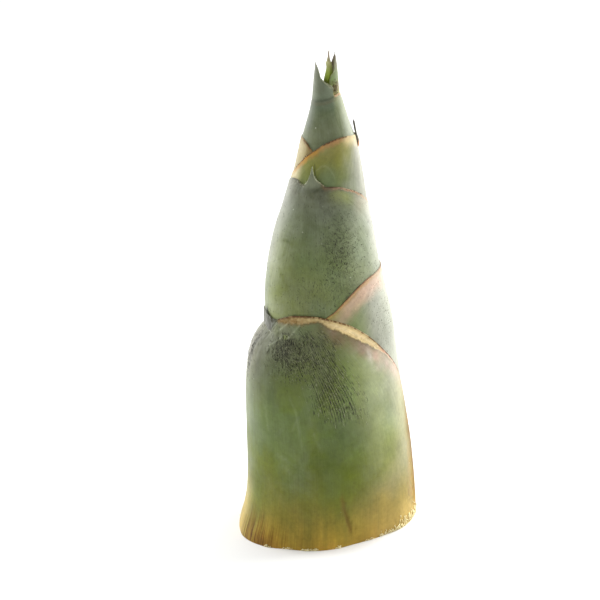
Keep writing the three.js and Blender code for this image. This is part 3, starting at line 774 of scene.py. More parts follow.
def paint_1(e):
    a, z, b = e["a"], e["z"], e["below"]
    x, y, zz = xyz(e)
    across = e["q"] * e["s"]["reach"]
    drop = z + 9 * fbm(x / 16, y / 16, z / 30, 71, 3) + 3 * fbm(across / 1.6, z / 40, 2, 72, 3) + 8 * bump(-66, 22, a) * step(50, 20, z) - 4 * bump(-30, 22, a)
    drop = drop - 4 * step(10, 45, a) * step(60, 20, z)
    col = GREEN_1(drop)
    # the middle is a deeper green; the right side is paler and greyer, partly its own tone and partly painted rim light
    # from the lamps behind
    col = blend(col, 0.7 * bump(4, 19, a) * bump(52, 27, z), lin(74, 94, 18))
    col = blend(col, 0.35 * bump(-30, 16, a) * bump(68, 22, z), lin(104, 122, 56))
    col = blend(col, 0.50 * step(8, 42, a) * step(44, 72, z) * (0.75 + 0.5 * fbm(x / 14, y / 14, z / 20, 70, 3)), lin(158, 166, 122))
    # blue-green and yellow-green clouds
    cloud = fbm(x / 20, y / 20, z / 30, 73, 4)
    col = blend(col, 0.5 * step(0.05, 0.5, cloud) * step(20, 40, z), lin(84, 104, 62))
    col = blend(col, 0.5 * step(0.0, 0.5, -cloud) * step(20, 50, z), lin(106, 114, 34))
    # ochre at the right of the cut, straw at the left, and a paler slope towards the right, which is painted rim light
    # from the lamps behind
    ochre = step(2, 34, a) * step(34, 18, z + 4 * fbm(x / 7, y / 7, z / 9, 59, 3)) * (0.75 + 0.5 * fbm(x / 9, y / 9, z / 8, 60, 3))
    col = blend(col, 0.30 * ochre, lin(186, 156, 90))
    w = around(a)
    col = blend(col, 0.45 * step(-62, -80, w) * step(40, 12, z), lin(214, 186, 100))
    # painted rim light: a pale grey patch on the right flank
    col = blend(col, 0.26 * bump(38, 17, a) * bump(64, 30, z), lin(180, 184, 140))
    mauve = bump(50, 15, a) * bump(30, 13, z) * (0.7 + 0.6 * fbm(x / 7, y / 7, z / 7, 58, 3))
    col = blend(col, 0.50 * mauve, lin(150, 140, 104))
    # painted rim light: paler towards the right low down
    col = blend(col, 0.35 * step(20, 50, a) * step(20, 6, z), lin(172, 150, 100))
    # greyer under the hairs
    hairy = np.exp(-(((a + 37) / 18) ** 2) - (((z - 103) / 8) ** 2))
    col = blend(col, 0.6 * hairy, lin(84, 87, 68))
    # cream towards the right edge: painted rim light from the lamps behind
    col = blend(col, 0.5 * step(44, 74, a) * step(20, 40, z), lin(200, 188, 156))
    # violet-brown flush under the margin at the right
    under = b - band_width(a, z)
    flush = step(-12, 6, a) * step(92, 66, a) * step(-0.4, 0.6, under) * step(9.0, 2.4, under + 1.5 * fbm(a / 7, z / 4, 0, 74, 3))
    tone = blend(np.broadcast_to(lin(112, 86, 68), col.shape).copy(), step(14, 50, a), lin(190, 152, 138))
    col = blend(col, 0.78 * flush * (0.8 + 0.5 * fbm(a / 6, z / 4, 0, 79, 3)), tone)
    lilac = np.exp(-((((a - 36) * 0.72 + (z - 96) * 0.15) / 2.0) ** 2) - (((z - 96) / 4.2) ** 2)) + 0.5 * np.exp(-((((a - 45) * 0.72) / 5) ** 2) - (((z - 89) / 2.5) ** 2))
    col = blend(col, 0.6 * lilac * (0.7 + 0.5 * fbm(a / 1.6, z / 2, 0, 56, 3)), lin(206, 196, 188))
    # pale margin band, brown on top and where it has dried
    bw = band_width(a, z)
    band = step(0.3, -0.2, b - bw) * ((a > -64) & (a <= 94))
    brown = np.interp(a, [-62, -50, -35, -20, -8, 4, 30, 48, 60, 94], [0.95, 0.7, 0.75, 0.4, 0.25, 0.1, 0.08, 0.25, 0.6, 0.7])
    brown = np.clip(brown + 0.7 * fbm(a / 2.2, z / 1.1, 0, 75, 4), 0, 1)
    bandcol = blend(np.broadcast_to(lin(216, 192, 138), col.shape).copy(), brown, lin(136, 104, 52))
    bandcol = blend(bandcol, 0.35 * step(0.1, 0.6, fbm(a / 1.2, z / 3.0, 0, 66, 3)), lin(196, 156, 104))
    # painted highlight: a paler cream stripe along the middle of the band
    bandcol = blend(bandcol, 0.5 * bump(0.55, 0.22, b / np.maximum(bw, 0.5)) * step(-4, 8, a), lin(232, 212, 170))
    bandcol = blend(bandcol, 0.7 * step(44, 54, a), lin(214, 150, 122))
    dash = step(-0.35, 0.15, fbm(a / 1.3, 0, 0, 67, 2))
    bandcol = blend(bandcol, step(0.85, 0.3, b) * (0.45 + 0.5 * dash), lin(84, 46, 22))
    bandcol = bandcol * np.interp(a, [-64, -8, 6, 22, 34, 50, 64], [0.74, 0.78, 0.86, 1.08, 0.98, 0.84, 0.82])[..., None]
    col = blend(col, band, bandcol)
    # painted shadow: a thin brown line just below the band's lower edge
    col = blend(col, 0.6 * bump(0.35, 0.45, b - bw) * step(-60, -50, a) * step(62, 40, a), lin(92, 68, 38))
    col = blend(col, 0.5 * step(2.6, 0.0, b - bw + 0.9 * fbm(a / 2.5, z / 1.5, 0, 64, 3)) * (b > bw) * step(-58, -48, a) * step(-16, -26, a), lin(122, 104, 62))
    # the margin down the right side dries orange and brown
    edge = a + 2.5 * fbm(z / 5, 0, 0, 68, 2) + 5 * fbm(a / 4, z / 16, 0, 53, 3)
    side = step(66, 78, edge - 5 * step(34, 58, z)) * step(70, 46, z)
    col = blend(col, 0.9 * side * (0.85 + 0.3 * fbm(a / 2, z / 3, 0, 69, 3)), lin(160, 130, 66))
    thin = step(73, 81, edge) * step(74, 50, z)
    col = blend(col, 0.75 * thin * (0.8 + 0.5 * fbm(a / 1.2, z / 2.2, 0, 57, 3)), lin(132, 90, 38))
    right = step(56, 66, a) * bump(14.5, 7.5, z) * step(-0.15, 0.2, fbm(a / 1.2, z / 1.4, 0, 76, 3))
    col = blend(col, 0.62 * right, lin(112, 92, 30))
    rusty = step(60, 68, a) * bump(19, 9, z) * step(0.0, 0.3, fbm(a / 1.0, z / 1.1, 1, 80, 3))
    col = blend(col, 0.5 * rusty, lin(150, 88, 28))
    # brown strokes running up from the cut at the left corner
    stroke_n = fbm(across / 0.75, z / 26.0, 4, 77, 3)
    phi = (a + 180) % 360 - 180
    tall = np.interp(phi, [-180, -110, -85, -66, -50, -34, -20, 0, 60, 80, 100, 180], [12, 16, 20, 24, 22, 14, 8, 6, 6, 12, 16, 12])
    st = step(-0.1, 0.5, stroke_n + 0.12) * step(tall, tall * 0.2, z)
    amount = np.interp(phi, [-180, -110, -90, -78, -66, -56, -42, -30, -16, 0, 60, 85, 180], [0.5, 0.5, 0.2, 0.35, 0.95, 1.0, 0.6, 0.35, 0.2, 0.12, 0.08, 0.3, 0.5])
    col = blend(col, 0.45 * st * amount, lin(120, 74, 18))
    rust = bump(-50, 11, phi) * step(9, 1, z + 2.5 * fbm(phi / 3, 0, 0, 63, 3))
    col = blend(col, 0.6 * rust, lin(108, 62, 16))
    burn = amount * step(tall * 0.9, tall * 0.1, z + 3 * fbm(phi / 2.4, 0, 0, 62, 3))
    # crease and small spots by it
    crease = bump(0, 1.7, a - crease_line(z)) * step(4, 9, z) * step(31, 24, z)
    col = blend(col, 0.72 * crease, lin(98, 66, 24))
    for spot in ((11.5, 15.0, 0.8), (14.2, 12.2, 0.9), (17.5, 8.5, 1.0), (9.4, 23.5, 0.7)):
        col = blend(col, 0.6 * np.exp(-((((a - spot[0]) * 0.72) ** 2 + (z - spot[1]) ** 2) / spot[2] ** 2)), lin(86, 66, 16))
    # pale scratches in the skin
    for i, line in enumerate(SCRATCHES):
        w = 0.5 if i < 3 else 0.8
        col = blend(col, (0.7 if i < 3 else 0.11) * stroke(a, z, line, w) * (0.6 + 0.6 * fbm(a / 2, z / 2, 0, 90 + i, 2)), lin(176, 184, 150))
    # blade: dark grey-green, its base line whitish
    d = z - ligule_1(a)
    on = step(-90, -84, a) * step(-50, -55, a)
    col = blend(col, 0.94 * on * step(-0.2, 0.5, d), blend(np.broadcast_to(lin(44, 45, 34), col.shape).copy(), step(-66, -52, a), lin(62, 66, 50)))
    col = blend(col, 0.85 * on * bump(-0.1, 0.4, d) * step(-70, -65, a) * step(-50, -56, a), lin(196, 200, 176))
    shoulder = bump(-88, 21, a) * bump(97, 13, z)
    col = blend(col, 0.7 * shoulder, lin(134, 124, 112))
    across_side = (a + 78.5 + 2.2 * fbm(z / 4, 0, 0, 55, 2)) * 0.62
    side_line = np.exp(-((across_side / 1.1) ** 2)) * step(80, 93, z) * step(109, 98, z)
    col = blend(col, 0.55 * side_line, lin(50, 46, 36))
    grey_shoulder = step(34, 58, a) * step(62, 82, z) * step(0.6, 3.0, b)
    col = blend(col, 0.40 * grey_shoulder, lin(160, 156, 138))
    col = blend(col, 0.45 * step(-58, -80, w) * bump(76, 22, z), lin(92, 94, 64))
    # patches of painted light and shade, mixed with the skin's own tone: darker at both edges, lighter a little right
    # of the middle
    col = shade(col, a, z, [(-72, 20, 101, 13, 0.54), (-44, 13, 97, 19, 0.72), (-2, 12, 86, 13, 0.8), (0, 12, 48, 22, 0.86),
                           (12, 12, 104, 14, 1.26), (12, 12, 80, 12, 1.2), (58, 16, 84, 20, 0.84), (86, 14, 66, 40, 0.74), (82, 9, 32, 26, 0.72), (-63, 10, 88, 19, 0.68), (-20, 11, 86, 10, 0.84), (17, 8, 88, 17, 1.14), (35, 7, 101, 5, 0.82), (-66, 14, 14, 13, 1.2)])
    col = blend(col, 0.35 * bump(2, 22, a) * bump(36, 20, z), lin(88, 96, 14))
    bare = np.maximum(0.8 * step(-52, -66, w) * step(30, 14, z), step(60, 76, a) * np.interp(z, [0, 55, 75, 100], [1, 1, 0.7, 0.3]))
    bare = np.maximum(bare, 0.45 * step(70, 46, z))
    # waxy veil mask, raised on both flanks as painted rim light from the lamps behind
    bloom_and_rim_light = 0.22 + 0.25 * fbm(x / 12, y / 12, z / 22, 79, 4) + 0.2 * bump(105, 14, z) + 0.25 * step(14, 50, a) * step(40, 70, z) + 0.15 * step(30, 80, -w)
    bloom_and_rim_light = bloom_and_rim_light * step(6, 40, z) * (1 - band) * (1 - 0.6 * bump(2, 22, a) * bump(40, 24, z))
    fleck = 0.75 * np.exp(-(((a + 37) / 16) ** 2) - (((z - 102.5) / 6.5) ** 2)) + 0.4 * np.exp(-(((a - 2 + (z - 88) * 0.9) / 18) ** 2) - (((z - 88) / 14) ** 2)) + 0.06
    fleck = np.clip(fleck, 0, 1) * (1 - band)
    dry = np.clip(band + step(30, 4, z) * (0.3 + 0.5 * step(0, -40, a)), 0, 1)
    axis = a - np.interp(z, [66, 90, 111], [11.0, -1.0, -15.0])
    rows = np.exp(-((axis / 17) ** 2)) * step(62, 74, z) * step(116, 108, z)
    return dict(col=col, vein=vein_vector(e), mask=np.stack([np.clip(bloom_and_rim_light, 0, 1), fleck, dry], -1), rows=0.8 * np.clip(rows, 0, 1), burn=np.clip(burn, 0, 1), bare=np.clip(bare, 0, 1))


def relief_n(e):
    r = common_relief(e, 0.045 if e["n"] < 4 else 0.010, 0.20 if e["n"] < 4 else 0.05, 1.3 if e["n"] < 4 else 0.9)
    return r


def relief_3(e):
    r = relief_n(e)
    a, z = e["a"], e["z"]
    r = r - 0.25 * bump(-44, 3.0, a) * bump(180, 2.2, z)
    r = r + 0.25 * step(-38, -32, a) * step(-4, -10, a) * step(178.4, 180.5, z)
    return r


def relief_5(e):
    a, z = e["a"], e["z"]
    fold = np.interp(a, [-120, -69, -41, -17, 6, 32, 60], [219, 219.2, 219.0, 219.2, 219.8, 220.6, 220.8])
    d = z - fold
    on = step(-160, -120, a) * step(62, 50, a)
    return relief_n(e) - on * (0.22 * bump(0, 0.55, d) + 0.12 * step(0, 1.0, d))


GREEN_2 = Ramp([(60, (98, 112, 54)), (100, (102, 116, 60)), (120, (112, 124, 76)), (134, (124, 132, 96))])


def paint_2(e):
    a, z, b = e["a"], e["z"], e["below"]
    x, y, zz = xyz(e)
    col = GREEN_2(z + 5 * fbm(x / 14, y / 14, z / 20, 81, 3))
    w = around(a)
    # grey-white on the right flank, partly its own greyer skin and partly painted rim light from the lamps behind
    col = blend(col, 0.75 * step(26, 50, w), lin(148, 146, 138))
    n = fbm(a / 5, z / 2, 0, 82, 3)
    pink = step(12, 4.0, b + 1.2 * n) * step(-10, 20, a)
    col = blend(col, 0.62 * pink, lin(206, 162, 140))
    orange = step(2.4, 0.9, b + 0.8 * n) * np.interp(a, [0, 10, 30, 60, 100], [0.8, 0.8, 0.75, 0.5, 0.3])
    col = blend(col, 0.85 * orange, lin(170, 128, 60))
    olive = step(26, 6, a) * step(124, 119, z) * step(7, 2, b)
    col = blend(col, 0.6 * olive, lin(134, 124, 52))
    col = blend(col, 0.75 * step(0.6, 0.15, b + 0.25 * fbm(a / 1.2, 0, 0, 84, 2)), lin(128, 70, 34))
    # patches of painted shade, mixed with the skin's own tone, on the right side
    col = shade(col, a, z, [(54, 14, 104, 14, 0.8), (52, 12, 124, 8, 0.86), (18, 8, 120, 6, 0.92)])
    # waxy veil mask, raised on the right flank as painted rim light from the lamps behind
    bloom_and_rim_light = 0.3 + 0.3 * fbm(x / 10, y / 10, z / 14, 83, 4) + 0.45 * step(36, 60, w)
    fleck = np.clip(0.08 + 0.30 * step(40, 70, w) * step(122, 105, z), 0, 1)
    return dict(col=col, vein=vein_vector(e), mask=np.stack([np.clip(bloom_and_rim_light, 0, 1), fleck, step(3, 0, b)], -1))


GREEN_3 = Ramp([(110, (98, 106, 46)), (125, (96, 105, 54)), (145, (93, 106, 62)), (160, (88, 99, 68)), (172, (84, 92, 68)), (180, (82, 86, 62)), (190, (86, 92, 66))])


def paint_3(e):
    a, z, b = e["a"], e["z"], e["below"]
    x, y, zz = xyz(e)
    col = GREEN_3(z + 8 * fbm(x / 14, y / 14, z / 24, 91, 3))
    w = around(a)
    left = step(-12, -60, w) * step(172, 138, z)
    col = blend(col, 0.6 * left, lin(118, 128, 60))
    col = blend(col, 0.45 * step(0.05, 0.5, fbm(x / 16, y / 16, z / 26, 92, 4)), lin(86, 104, 78))
    # painted rim light from the lamps behind: paler towards the right, whitish along both flanks
    right = step(14, 46, w)
    col = blend(col, 0.35 * right, lin(142, 148, 126))
    col = blend(col, 0.45 * step(-48, -80, w) * step(128, 150, z), lin(182, 180, 172))
    col = blend(col, 0.42 * step(46, 76, w) * step(120, 150, z), lin(182, 176, 176))
    col = blend(col, 0.75 * bump(22, 19, a) * bump(3.8, 3.6, b) * step(0.6, 1.8, b), lin(130, 136, 62))
    col = blend(col, 0.4 * step(34, 50, a) * bump(170, 6, z), lin(178, 160, 140))
    # blade: grey-green with pale edges, partly its pale margin and partly painted highlight, and a dark line under its
    # fold, which is painted shade
    on = step(-42, -36, a) * step(-3, -8, a)
    col = blend(col, 0.7 * on * step(179.0, 181.0, z), lin(112, 118, 94))
    # pale edges of the blade: its own pale margin with a painted highlight
    rim = step(0.75, 0.2, e["top"] - z) * step(-58, -46, a) * step(4, -8, a)
    col = blend(col, 0.85 * rim, lin(206, 212, 172))
    # dark along the torn edge left of the blade: partly its own colour, partly painted shadow in the tears
    ragged = step(1.5, 0.3, e["top"] - z + 1.2 * fbm(a / 1.3, z / 0.8, 0, 98, 3)) * step(-76, -68, a) * step(-36, -42, a)
    col = blend(col, 0.85 * ragged, lin(58, 50, 30))
    frayed = step(0.1, 0.45, fbm(a / 1.1, z / 0.9, 0, 99, 2)) * bump(-52, 12, a) * step(3.4, 0.4, e["top"] - z)
    col = blend(col, 0.7 * frayed, lin(214, 214, 186))
    # painted shade: a dark line at the foot of the raised base of the blade
    dark = bump(178.6, 1.5, z) * step(-62, -48, a) * step(16, -4, a)
    col = blend(col, 0.6 * dark, lin(50, 54, 36))
    # painted shadow: nearly black in the notch left of the blade
    torn = bump(-51, 7, a) * bump(181.2, 2.4, z) * step(-0.35, 0.0, fbm(a / 2.0, z / 0.9, 0, 94, 3))
    col = blend(col, 0.95 * torn, lin(34, 34, 20))
    speck = bump(-62, 14, a) * bump(179.5, 3.2, z) * step(0.12, 0.4, fbm(a / 1.5, z / 0.7, 1, 97, 3))
    col = blend(col, 0.8 * speck, lin(66, 56, 36))
    patch = np.exp(-(((a + 4) / 9) ** 2) - (((z - 173) / 5) ** 2))
    col = blend(col, 0.4 * patch, lin(64, 66, 46))
    # pink line along the right part of the margin
    line = step(1.3, 0.4, b + 0.6 * fbm(a / 2.0, 0, 0, 95, 3)) * step(0, 10, a)
    col = blend(col, 0.75 * line, lin(176, 132, 96))
    brown = step(2.4, 0.5, b + 1.0 * fbm(a / 1.6, z / 1.0, 0, 96, 3)) * step(-14, -4, a) * step(26, 8, a)
    col = blend(col, 0.7 * brown, lin(104, 72, 38))
    # patches of painted shade, mixed with the skin's own tone; darkest just right of the foot of the blade
    col = shade(col, a, z, [(-42, 13, 134, 20, 0.82), (-4, 12, 175, 6, 0.7), (56, 14, 168, 9, 0.84), (20, 12, 174, 5, 0.9), (-24, 9, 166, 8, 0.92)])
    # waxy veil mask, raised on both flanks as painted rim light from the lamps behind
    bloom_and_rim_light = 0.25 + 0.3 * fbm(x / 11, y / 11, z / 18, 93, 4) + 0.2 * step(140, 175, z) + 0.3 * step(22, 60, np.abs(w + 4))
    fleck = np.clip(0.5 * np.exp(-(((a - 16) / 22) ** 2) - (((z - 148) / 20) ** 2)) + 0.2 * np.exp(-(((z - 128) / 12) ** 2)), 0, 1)
    return dict(col=col, vein=vein_vector(e), mask=np.stack([np.clip(bloom_and_rim_light, 0, 1), fleck, step(2, 0, b) * 0.6], -1))


GREEN_4 = Ramp([(178, (96, 110, 60)), (184, (108, 116, 54)), (190, (124, 125, 56)), (196, (128, 124, 62)), (202, (126, 120, 70))])


def paint_4(e):
    a, z, b = e["a"], e["z"], e["below"]
    x, y, zz = xyz(e)
    col = GREEN_4(z + 3 * fbm(x / 9, y / 9, z / 12, 101, 3))
    # straw yellow at the left, and on the inner turn
    w = around(a)
    pale = step(-46, -70, w)
    col = blend(col, 0.8 * pale, lin(206, 190, 144))
    turn = step(262, 272, a)
    # painted shadow of the third sheath's blade: a dark line along its right edge
    blade_shadow = stroke(a, z, [(-25.2, 190.5), (-24, 188.2), (-21.4, 185.3), (-17.8, 183.3), (-12, 182.2)], 0.42)
    col = blend(col, 0.75 * blade_shadow * step(200, 90, a), lin(44, 50, 24))
    straw = blend(np.broadcast_to(lin(128, 108, 58), col.shape).copy(), step(316, 300, a + 3 * fbm(z / 3, a / 5, 0, 103, 2)), lin(162, 148, 104))
    # bluish skin right of the third sheath's blade, painted shade under that blade's foot, and grey towards the right,
    # partly painted rim light from the lamps behind
    d = np.hypot((a - 1 + 3 * fbm(z / 3, a / 9, 0, 104, 2)) / 22.0, (z - 183.0) / 8.5)
    col = blend(col, 0.55 * step(1.35, 0.2, d), lin(100, 116, 88))
    # painted shade under the foot of the third sheath's blade
    col = blend(col, 0.35 * bump(-8, 10, a) * bump(179.5, 2.2, z), lin(72, 90, 44))
    # grey towards the right flank: partly painted rim light from the lamps behind
    col = blend(col, 0.75 * step(10, 62, w + 16 * fbm(z / 8, a / 16, 0, 108, 3) + 0.9 * (188 - z)) * step(200, 190, z + 4 * fbm(a / 9, 0, 0, 106, 2)), lin(132, 134, 118))
    col = blend(col, 0.6 * step(44, 70, w), lin(136, 132, 122))
    col = blend(col, 0.9 * turn, straw)
    col = blend(col, 0.13 * stroke(a, z, [(-21.9, 187.3), (-13, 189.4), (-4.8, 189.6), (3.5, 188.1), (12, 184)], 0.4, 0.45), lin(196, 202, 160))
    n = fbm(a / 5, z / 2, 0, 102, 3)
    outer = step(260, 200, a)
    orange = step(3.4, 0.5, b + 0.9 * n) * outer * np.interp(a, [-90, -60, -30, 10, 30, 50, 70], [0.35, 0.9, 0.95, 0.85, 0.6, 0.4, 0.3])
    tone = blend(np.broadcast_to(lin(190, 134, 48), col.shape).copy(), step(-30, 10, a), lin(178, 124, 84))
    col = blend(col, 0.85 * orange, tone)
    col = blend(col, 0.55 * step(6.5, 2.0, b + n) * step(24, 44, a) * outer, lin(198, 178, 130))
    line = step(0.6, 0.12, b + 0.3 * fbm(a / 1.2, 0, 0, 105, 3))
    broken = step(-0.3, 0.25, fbm(a / 2.6, 0, 0, 109, 3))
    col = blend(col, 0.75 * line * step(60, 40, a) * (0.25 + 0.75 * broken), lin(104, 60, 30))
    # patches of painted light and shade, mixed with the skin's own tone; darker at the right edge
    col = shade(col, a, z, [(52, 13, 184, 9, 0.7), (54, 10, 194, 5, 0.84), (-2, 9, 183, 6, 1.1), (-60, 10, 190, 6, 0.9)])
    col = blend(col, 0.6 * turn * step(1.6, 0.4, b + 0.8 * fbm(a / 1.6, z / 1.2, 0, 107, 3)), lin(120, 86, 44))
    # waxy veil mask, raised on the right flank as painted rim light from the lamps behind
    bloom_and_rim_light = 0.1 + 0.2 * fbm(x / 8, y / 8, z / 10, 103, 4) + 0.3 * step(26, 56, w) * outer - 0.1 * turn
    return dict(col=col, vein=vein_vector(e), mask=np.stack([np.clip(bloom_and_rim_light, 0, 1), 0.12 + 0 * a, step(3, 0, b) * 0.6], -1))


GREEN_5 = Ramp([(196, (94, 102, 68)), (205, (90, 98, 66)), (215, (84, 96, 70)), (222, (100, 108, 82)), (232, (100, 104, 80)), (238, (92, 90, 76))])


def paint_5(e):
    a, z, b = e["a"], e["z"], e["below"]
    x, y, zz = xyz(e)
    col = GREEN_5(z + 2.5 * fbm(x / 8, y / 8, z / 10, 111, 3))
    w = around(a)
    fold = np.interp(a, [-120, -69, -41, -17, 6, 32, 60], [219, 219.2, 219.0, 219.2, 219.8, 220.6, 220.8])
    on = step(-160, -120, a) * step(64, 56, a)
    # painted shade: a dark line in the groove of the fold; a browner band lies under it
    col = blend(col, 0.7 * on * bump(0, 0.7, z - fold), lin(48, 52, 38))
    col = blend(col, 0.5 * on * bump(-1.4, 0.8, z - fold), lin(92, 80, 56))
    cool = step(212, 219, z)[..., None]
    col = col * (1 + cool * np.array([-0.03, 0.02, 0.24]))
    edge = step(0.9, 0.2, e["top"] - z)
    col = blend(col, 0.75 * edge * step(-75, -40, a) * step(30, 20, a), lin(176, 180, 140))
    tipc = step(233, 236.5, z)
    col = blend(col, 0.7 * tipc, lin(92, 82, 74))
    neck = step(219, 226, z) * step(4, -30, a)
    col = blend(col, 0.45 * neck, lin(60, 62, 46))
    col = blend(col, 0.5 * step(-40, -66, a) * step(203, 209, z) * step(222, 216, z), lin(72, 80, 68))
    # pale on the right flank: painted rim light from the lamps behind
    col = blend(col, 0.30 * step(34, 64, w) * step(221, 213, z), lin(180, 182, 170))
    curl = bump(12, 12, a) * step(1.6, 0.4, e["top"] - z) * step(221, 223, z)
    col = blend(col, 0.6 * curl * step(-0.2, 0.2, fbm(a / 1.6, z / 0.8, 0, 114, 2)), lin(206, 204, 176))
    olive = step(14, 34, a) * step(205, 219, z)
    col = blend(col, 0.4 * olive, lin(122, 124, 78))
    margin = step(1.2, 0.3, b) * step(24, 34, a)
    col = blend(col, 0.8 * margin, lin(176, 132, 96))
    # patches of painted shade, mixed with the skin's own tone
    col = shade(col, a, z, [(-60, 12, 208, 6, 0.78), (8, 14, 209, 8, 0.94)])
    # waxy veil mask, raised on both flanks as painted rim light from the lamps behind
    bloom_and_rim_light = 0.3 + 0.25 * fbm(x / 7, y / 7, z / 9, 113, 4) + 0.12 * step(20, 95, -w) + 0.35 * step(30, 80, w) * step(222, 212, z)
    vein = vein_vector(e)
    vein[..., 2] += 5.3
    return dict(col=col, vein=vein, mask=np.stack([np.clip(bloom_and_rim_light, 0, 1), 0.15 + 0 * a, 0.05 + 0 * a], -1))


def paint_6(e):
    a, z, b = e["a"], e["z"], e["below"]
    x, y, zz = xyz(e)
    ramp = Ramp([(215, (150, 110, 70)), (219.6, (160, 116, 78)), (220.6, (140, 112, 72)), (221.6, (124, 116, 70)), (225, (116, 114, 72)), (228.5, (90, 106, 68)),
                 (232, (90, 96, 68)), (236, (82, 78, 60)), (240, (70, 60, 50))])
    col = ramp(z + 0.9 * fbm(x / 3, y / 3, z / 4, 121, 3))
    col = blend(col, step(34, 60, np.abs(a - 20)) * step(223.5, 221, z), lin(112, 122, 72))
    col = blend(col, 0.5 * bump(14, 16, a) * bump(227.5, 3.5, z), lin(112, 136, 70))
    col = col * (1 + 0.35 * bump(16, 20, a) * step(229, 233, z))[..., None]
    spot = step(-0.12, 0.16, fbm(x / 0.8, y / 0.8, z / 0.7, 122, 3)) * bump(224.6, 3.0, z)
    col = blend(col, 0.82 * spot, lin(62, 36, 20))
    col = blend(col, 0.5 * step(0.6, 0.15, e["top"] - z) * step(225, 228, z) * step(60, 40, a), lin(150, 154, 112))
    bloom_and_rim_light = 0.2 + 0.3 * fbm(x / 5, y / 5, z / 7, 123, 3)
    return dict(col=col, vein=vein_vector(e), mask=np.stack([np.clip(bloom_and_rim_light, 0, 1), 0.15 + 0 * a, 0.2 + 0 * a], -1))


# dark brown inside the sixth sheath: its own colour deepened as painted shade in its curl
SHEATHS[5]["inner_colour"] = lin(92, 66, 44)
SHEATHS[4]["inner_colour"] = lin(120, 130, 80)
plan = [(relief_1, paint_1, 118), (relief_n, paint_2, 66), (relief_3, paint_3, 110), (relief_n, paint_4, 70), (relief_5, paint_5, 80), (relief_n, paint_6, 44)]
looks = [leaf("sheath_1", streak=0.13, rows=True), leaf("sheath_2", streak=0.14), leaf("sheath_3", streak=0.16), leaf("sheath_4", streak=0.12, mottle=0.16),
         leaf("sheath_5", streak=0.12, mottle=0.16), leaf("sheath_6", streak=0.12, mottle=0.14, sheen=0.1, spec=0.12)]
pieces = []
for n, (relief, paint, rows) in enumerate(plan):
    obj = build_sheath(n, relief, paint, rows)
    obj.data.materials.append(looks[n])
    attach(obj, "root")
    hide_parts(SHEATHS[n]["name"])
    pieces.append(obj)


# ------------------------------------------------------------------ stem
def build_stem():
    a1 = np.arange(-180, 180, 2.5)
    zs = np.concatenate([np.linspace(0, 12, 7), np.linspace(16, 163, 40)])
    cone = Curve([(0, 46), (62, 39), (95, 31), (135, 21), (150, 17), (165, 13)])
    rings = []
    for h in zs:
        z = np.full(a1.shape, h)
        r = np.minimum(cone(z), outline(a1, z) - depth(len(SHEATHS), a1, z) - 0.2)
        rings.append(r)
    verts, faces, ring = [], [], []
    n = len(a1)
    shares = [0.0, 0.12, 0.25, 0.38, 0.5, 0.62, 0.73, 0.83, 0.91, 0.96, 0.985]
    for k in shares[1:]:
        verts.append(place(a1, np.full(n, 0.0), rings[0] * k))
        ring.append(np.full(n, k))
    for h, r in zip(zs, rings):
        verts.append(place(a1, np.full(n, h), r))
        ring.append(np.ones(n))
    flat = np.concatenate(verts)
    ring = np.concatenate(ring)
    rows = len(verts)
    i = np.arange(n)
    j = (i + 1) % n
    for k in range(rows - 1):
        faces.append(np.stack([k * n + i, k * n + j, (k + 1) * n + j, (k + 1) * n + i], -1))
    c0, c1 = len(flat), len(flat) + 1
    flat = np.concatenate([flat, [[0.6, 0, 0.0]], [[float(CENTRE(163)), 8 * (163 / 250) ** 2, 163.5]]])
    ring = np.concatenate([ring, [0, 1]])
    faces.append(np.stack([j, i, np.full(n, c0)], -1))
    last = (rows - 1) * n
    faces.append(np.stack([last + i, last + j, np.full(n, c1)], -1))
    obj = make_object("stem_flesh", flat, faces, dict(ring=ring), sharp=40)
    obj.data.materials.append(flesh_material())
    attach(obj, "root")
    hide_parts("stem")
    return obj


pieces.append(build_stem())


# ------------------------------------------------------------------ central spear
def leaf_blade(spine, widths, face, curl, thick, n=13, rows=40, tip_twist=0.0):
    """A folded young leaf: spine points, half widths, the angle its back faces, how far its sides curl round."""
    t = np.linspace(0, 1, rows)
    ts = np.linspace(0, 1, len(spine))
    spine = np.array(spine, float)
    c = np.stack([Curve(list(zip(ts, spine[:, k])))(t) for k in range(3)], -1)
    w = Curve(list(zip(np.linspace(0, 1, len(widths)), widths)))(t)
    v, f = [], []
    for side in (0, 1):
        for k in range(rows):
            ang = np.linspace(-1, 1, n)
            f0 = math.radians(face + tip_twist * t[k])
            back = np.array([math.sin(f0), -math.cos(f0)])
            over = np.array([back[1] * -1, back[0]])
            cu = curl * (1 - 0.35 * t[k])
            rad = w[k] / max(cu, 0.2)
            th = ang * cu
            out = rad * np.cos(th) - rad
            lat = rad * np.sin(th)
            q = thick * min(1, w[k] / 0.6) * (0.35 + 0.65 * (1 - np.abs(ang) ** 2))
            out = out + (0.5 if side == 0 else -0.5) * q
            p = np.stack([c[k, 0] + back[0] * out + over[0] * lat, c[k, 1] + back[1] * out + over[1] * lat, np.full(n, c[k, 2])], -1)
            v.append(p)
    v = np.concatenate(v)
    half = rows * n
    i, j = np.meshgrid(np.arange(rows - 1), np.arange(n - 1), indexing="ij")
    a = (i * n + j).ravel()
    faces = [np.stack([a, a + 1, a + n + 1, a + n], -1), np.stack([half + a + n, half + a + n + 1, half + a + 1, half + a], -1)]
    k = np.arange(rows - 1) * n
    faces.append(np.stack([k + n, half + k + n, half + k, k], -1))
    faces.append(np.stack([k + n - 1, half + k + n - 1, half + k + 2 * n - 1, k + 2 * n - 1], -1))
    j = np.arange(n - 1)
    faces.append(np.stack([j + 1, j, half + j, half + j + 1], -1))
    top = (rows - 1) * n
    faces.append(np.stack([top + j, top + j + 1, half + top + j + 1, half + top + j], -1))
    return v, faces


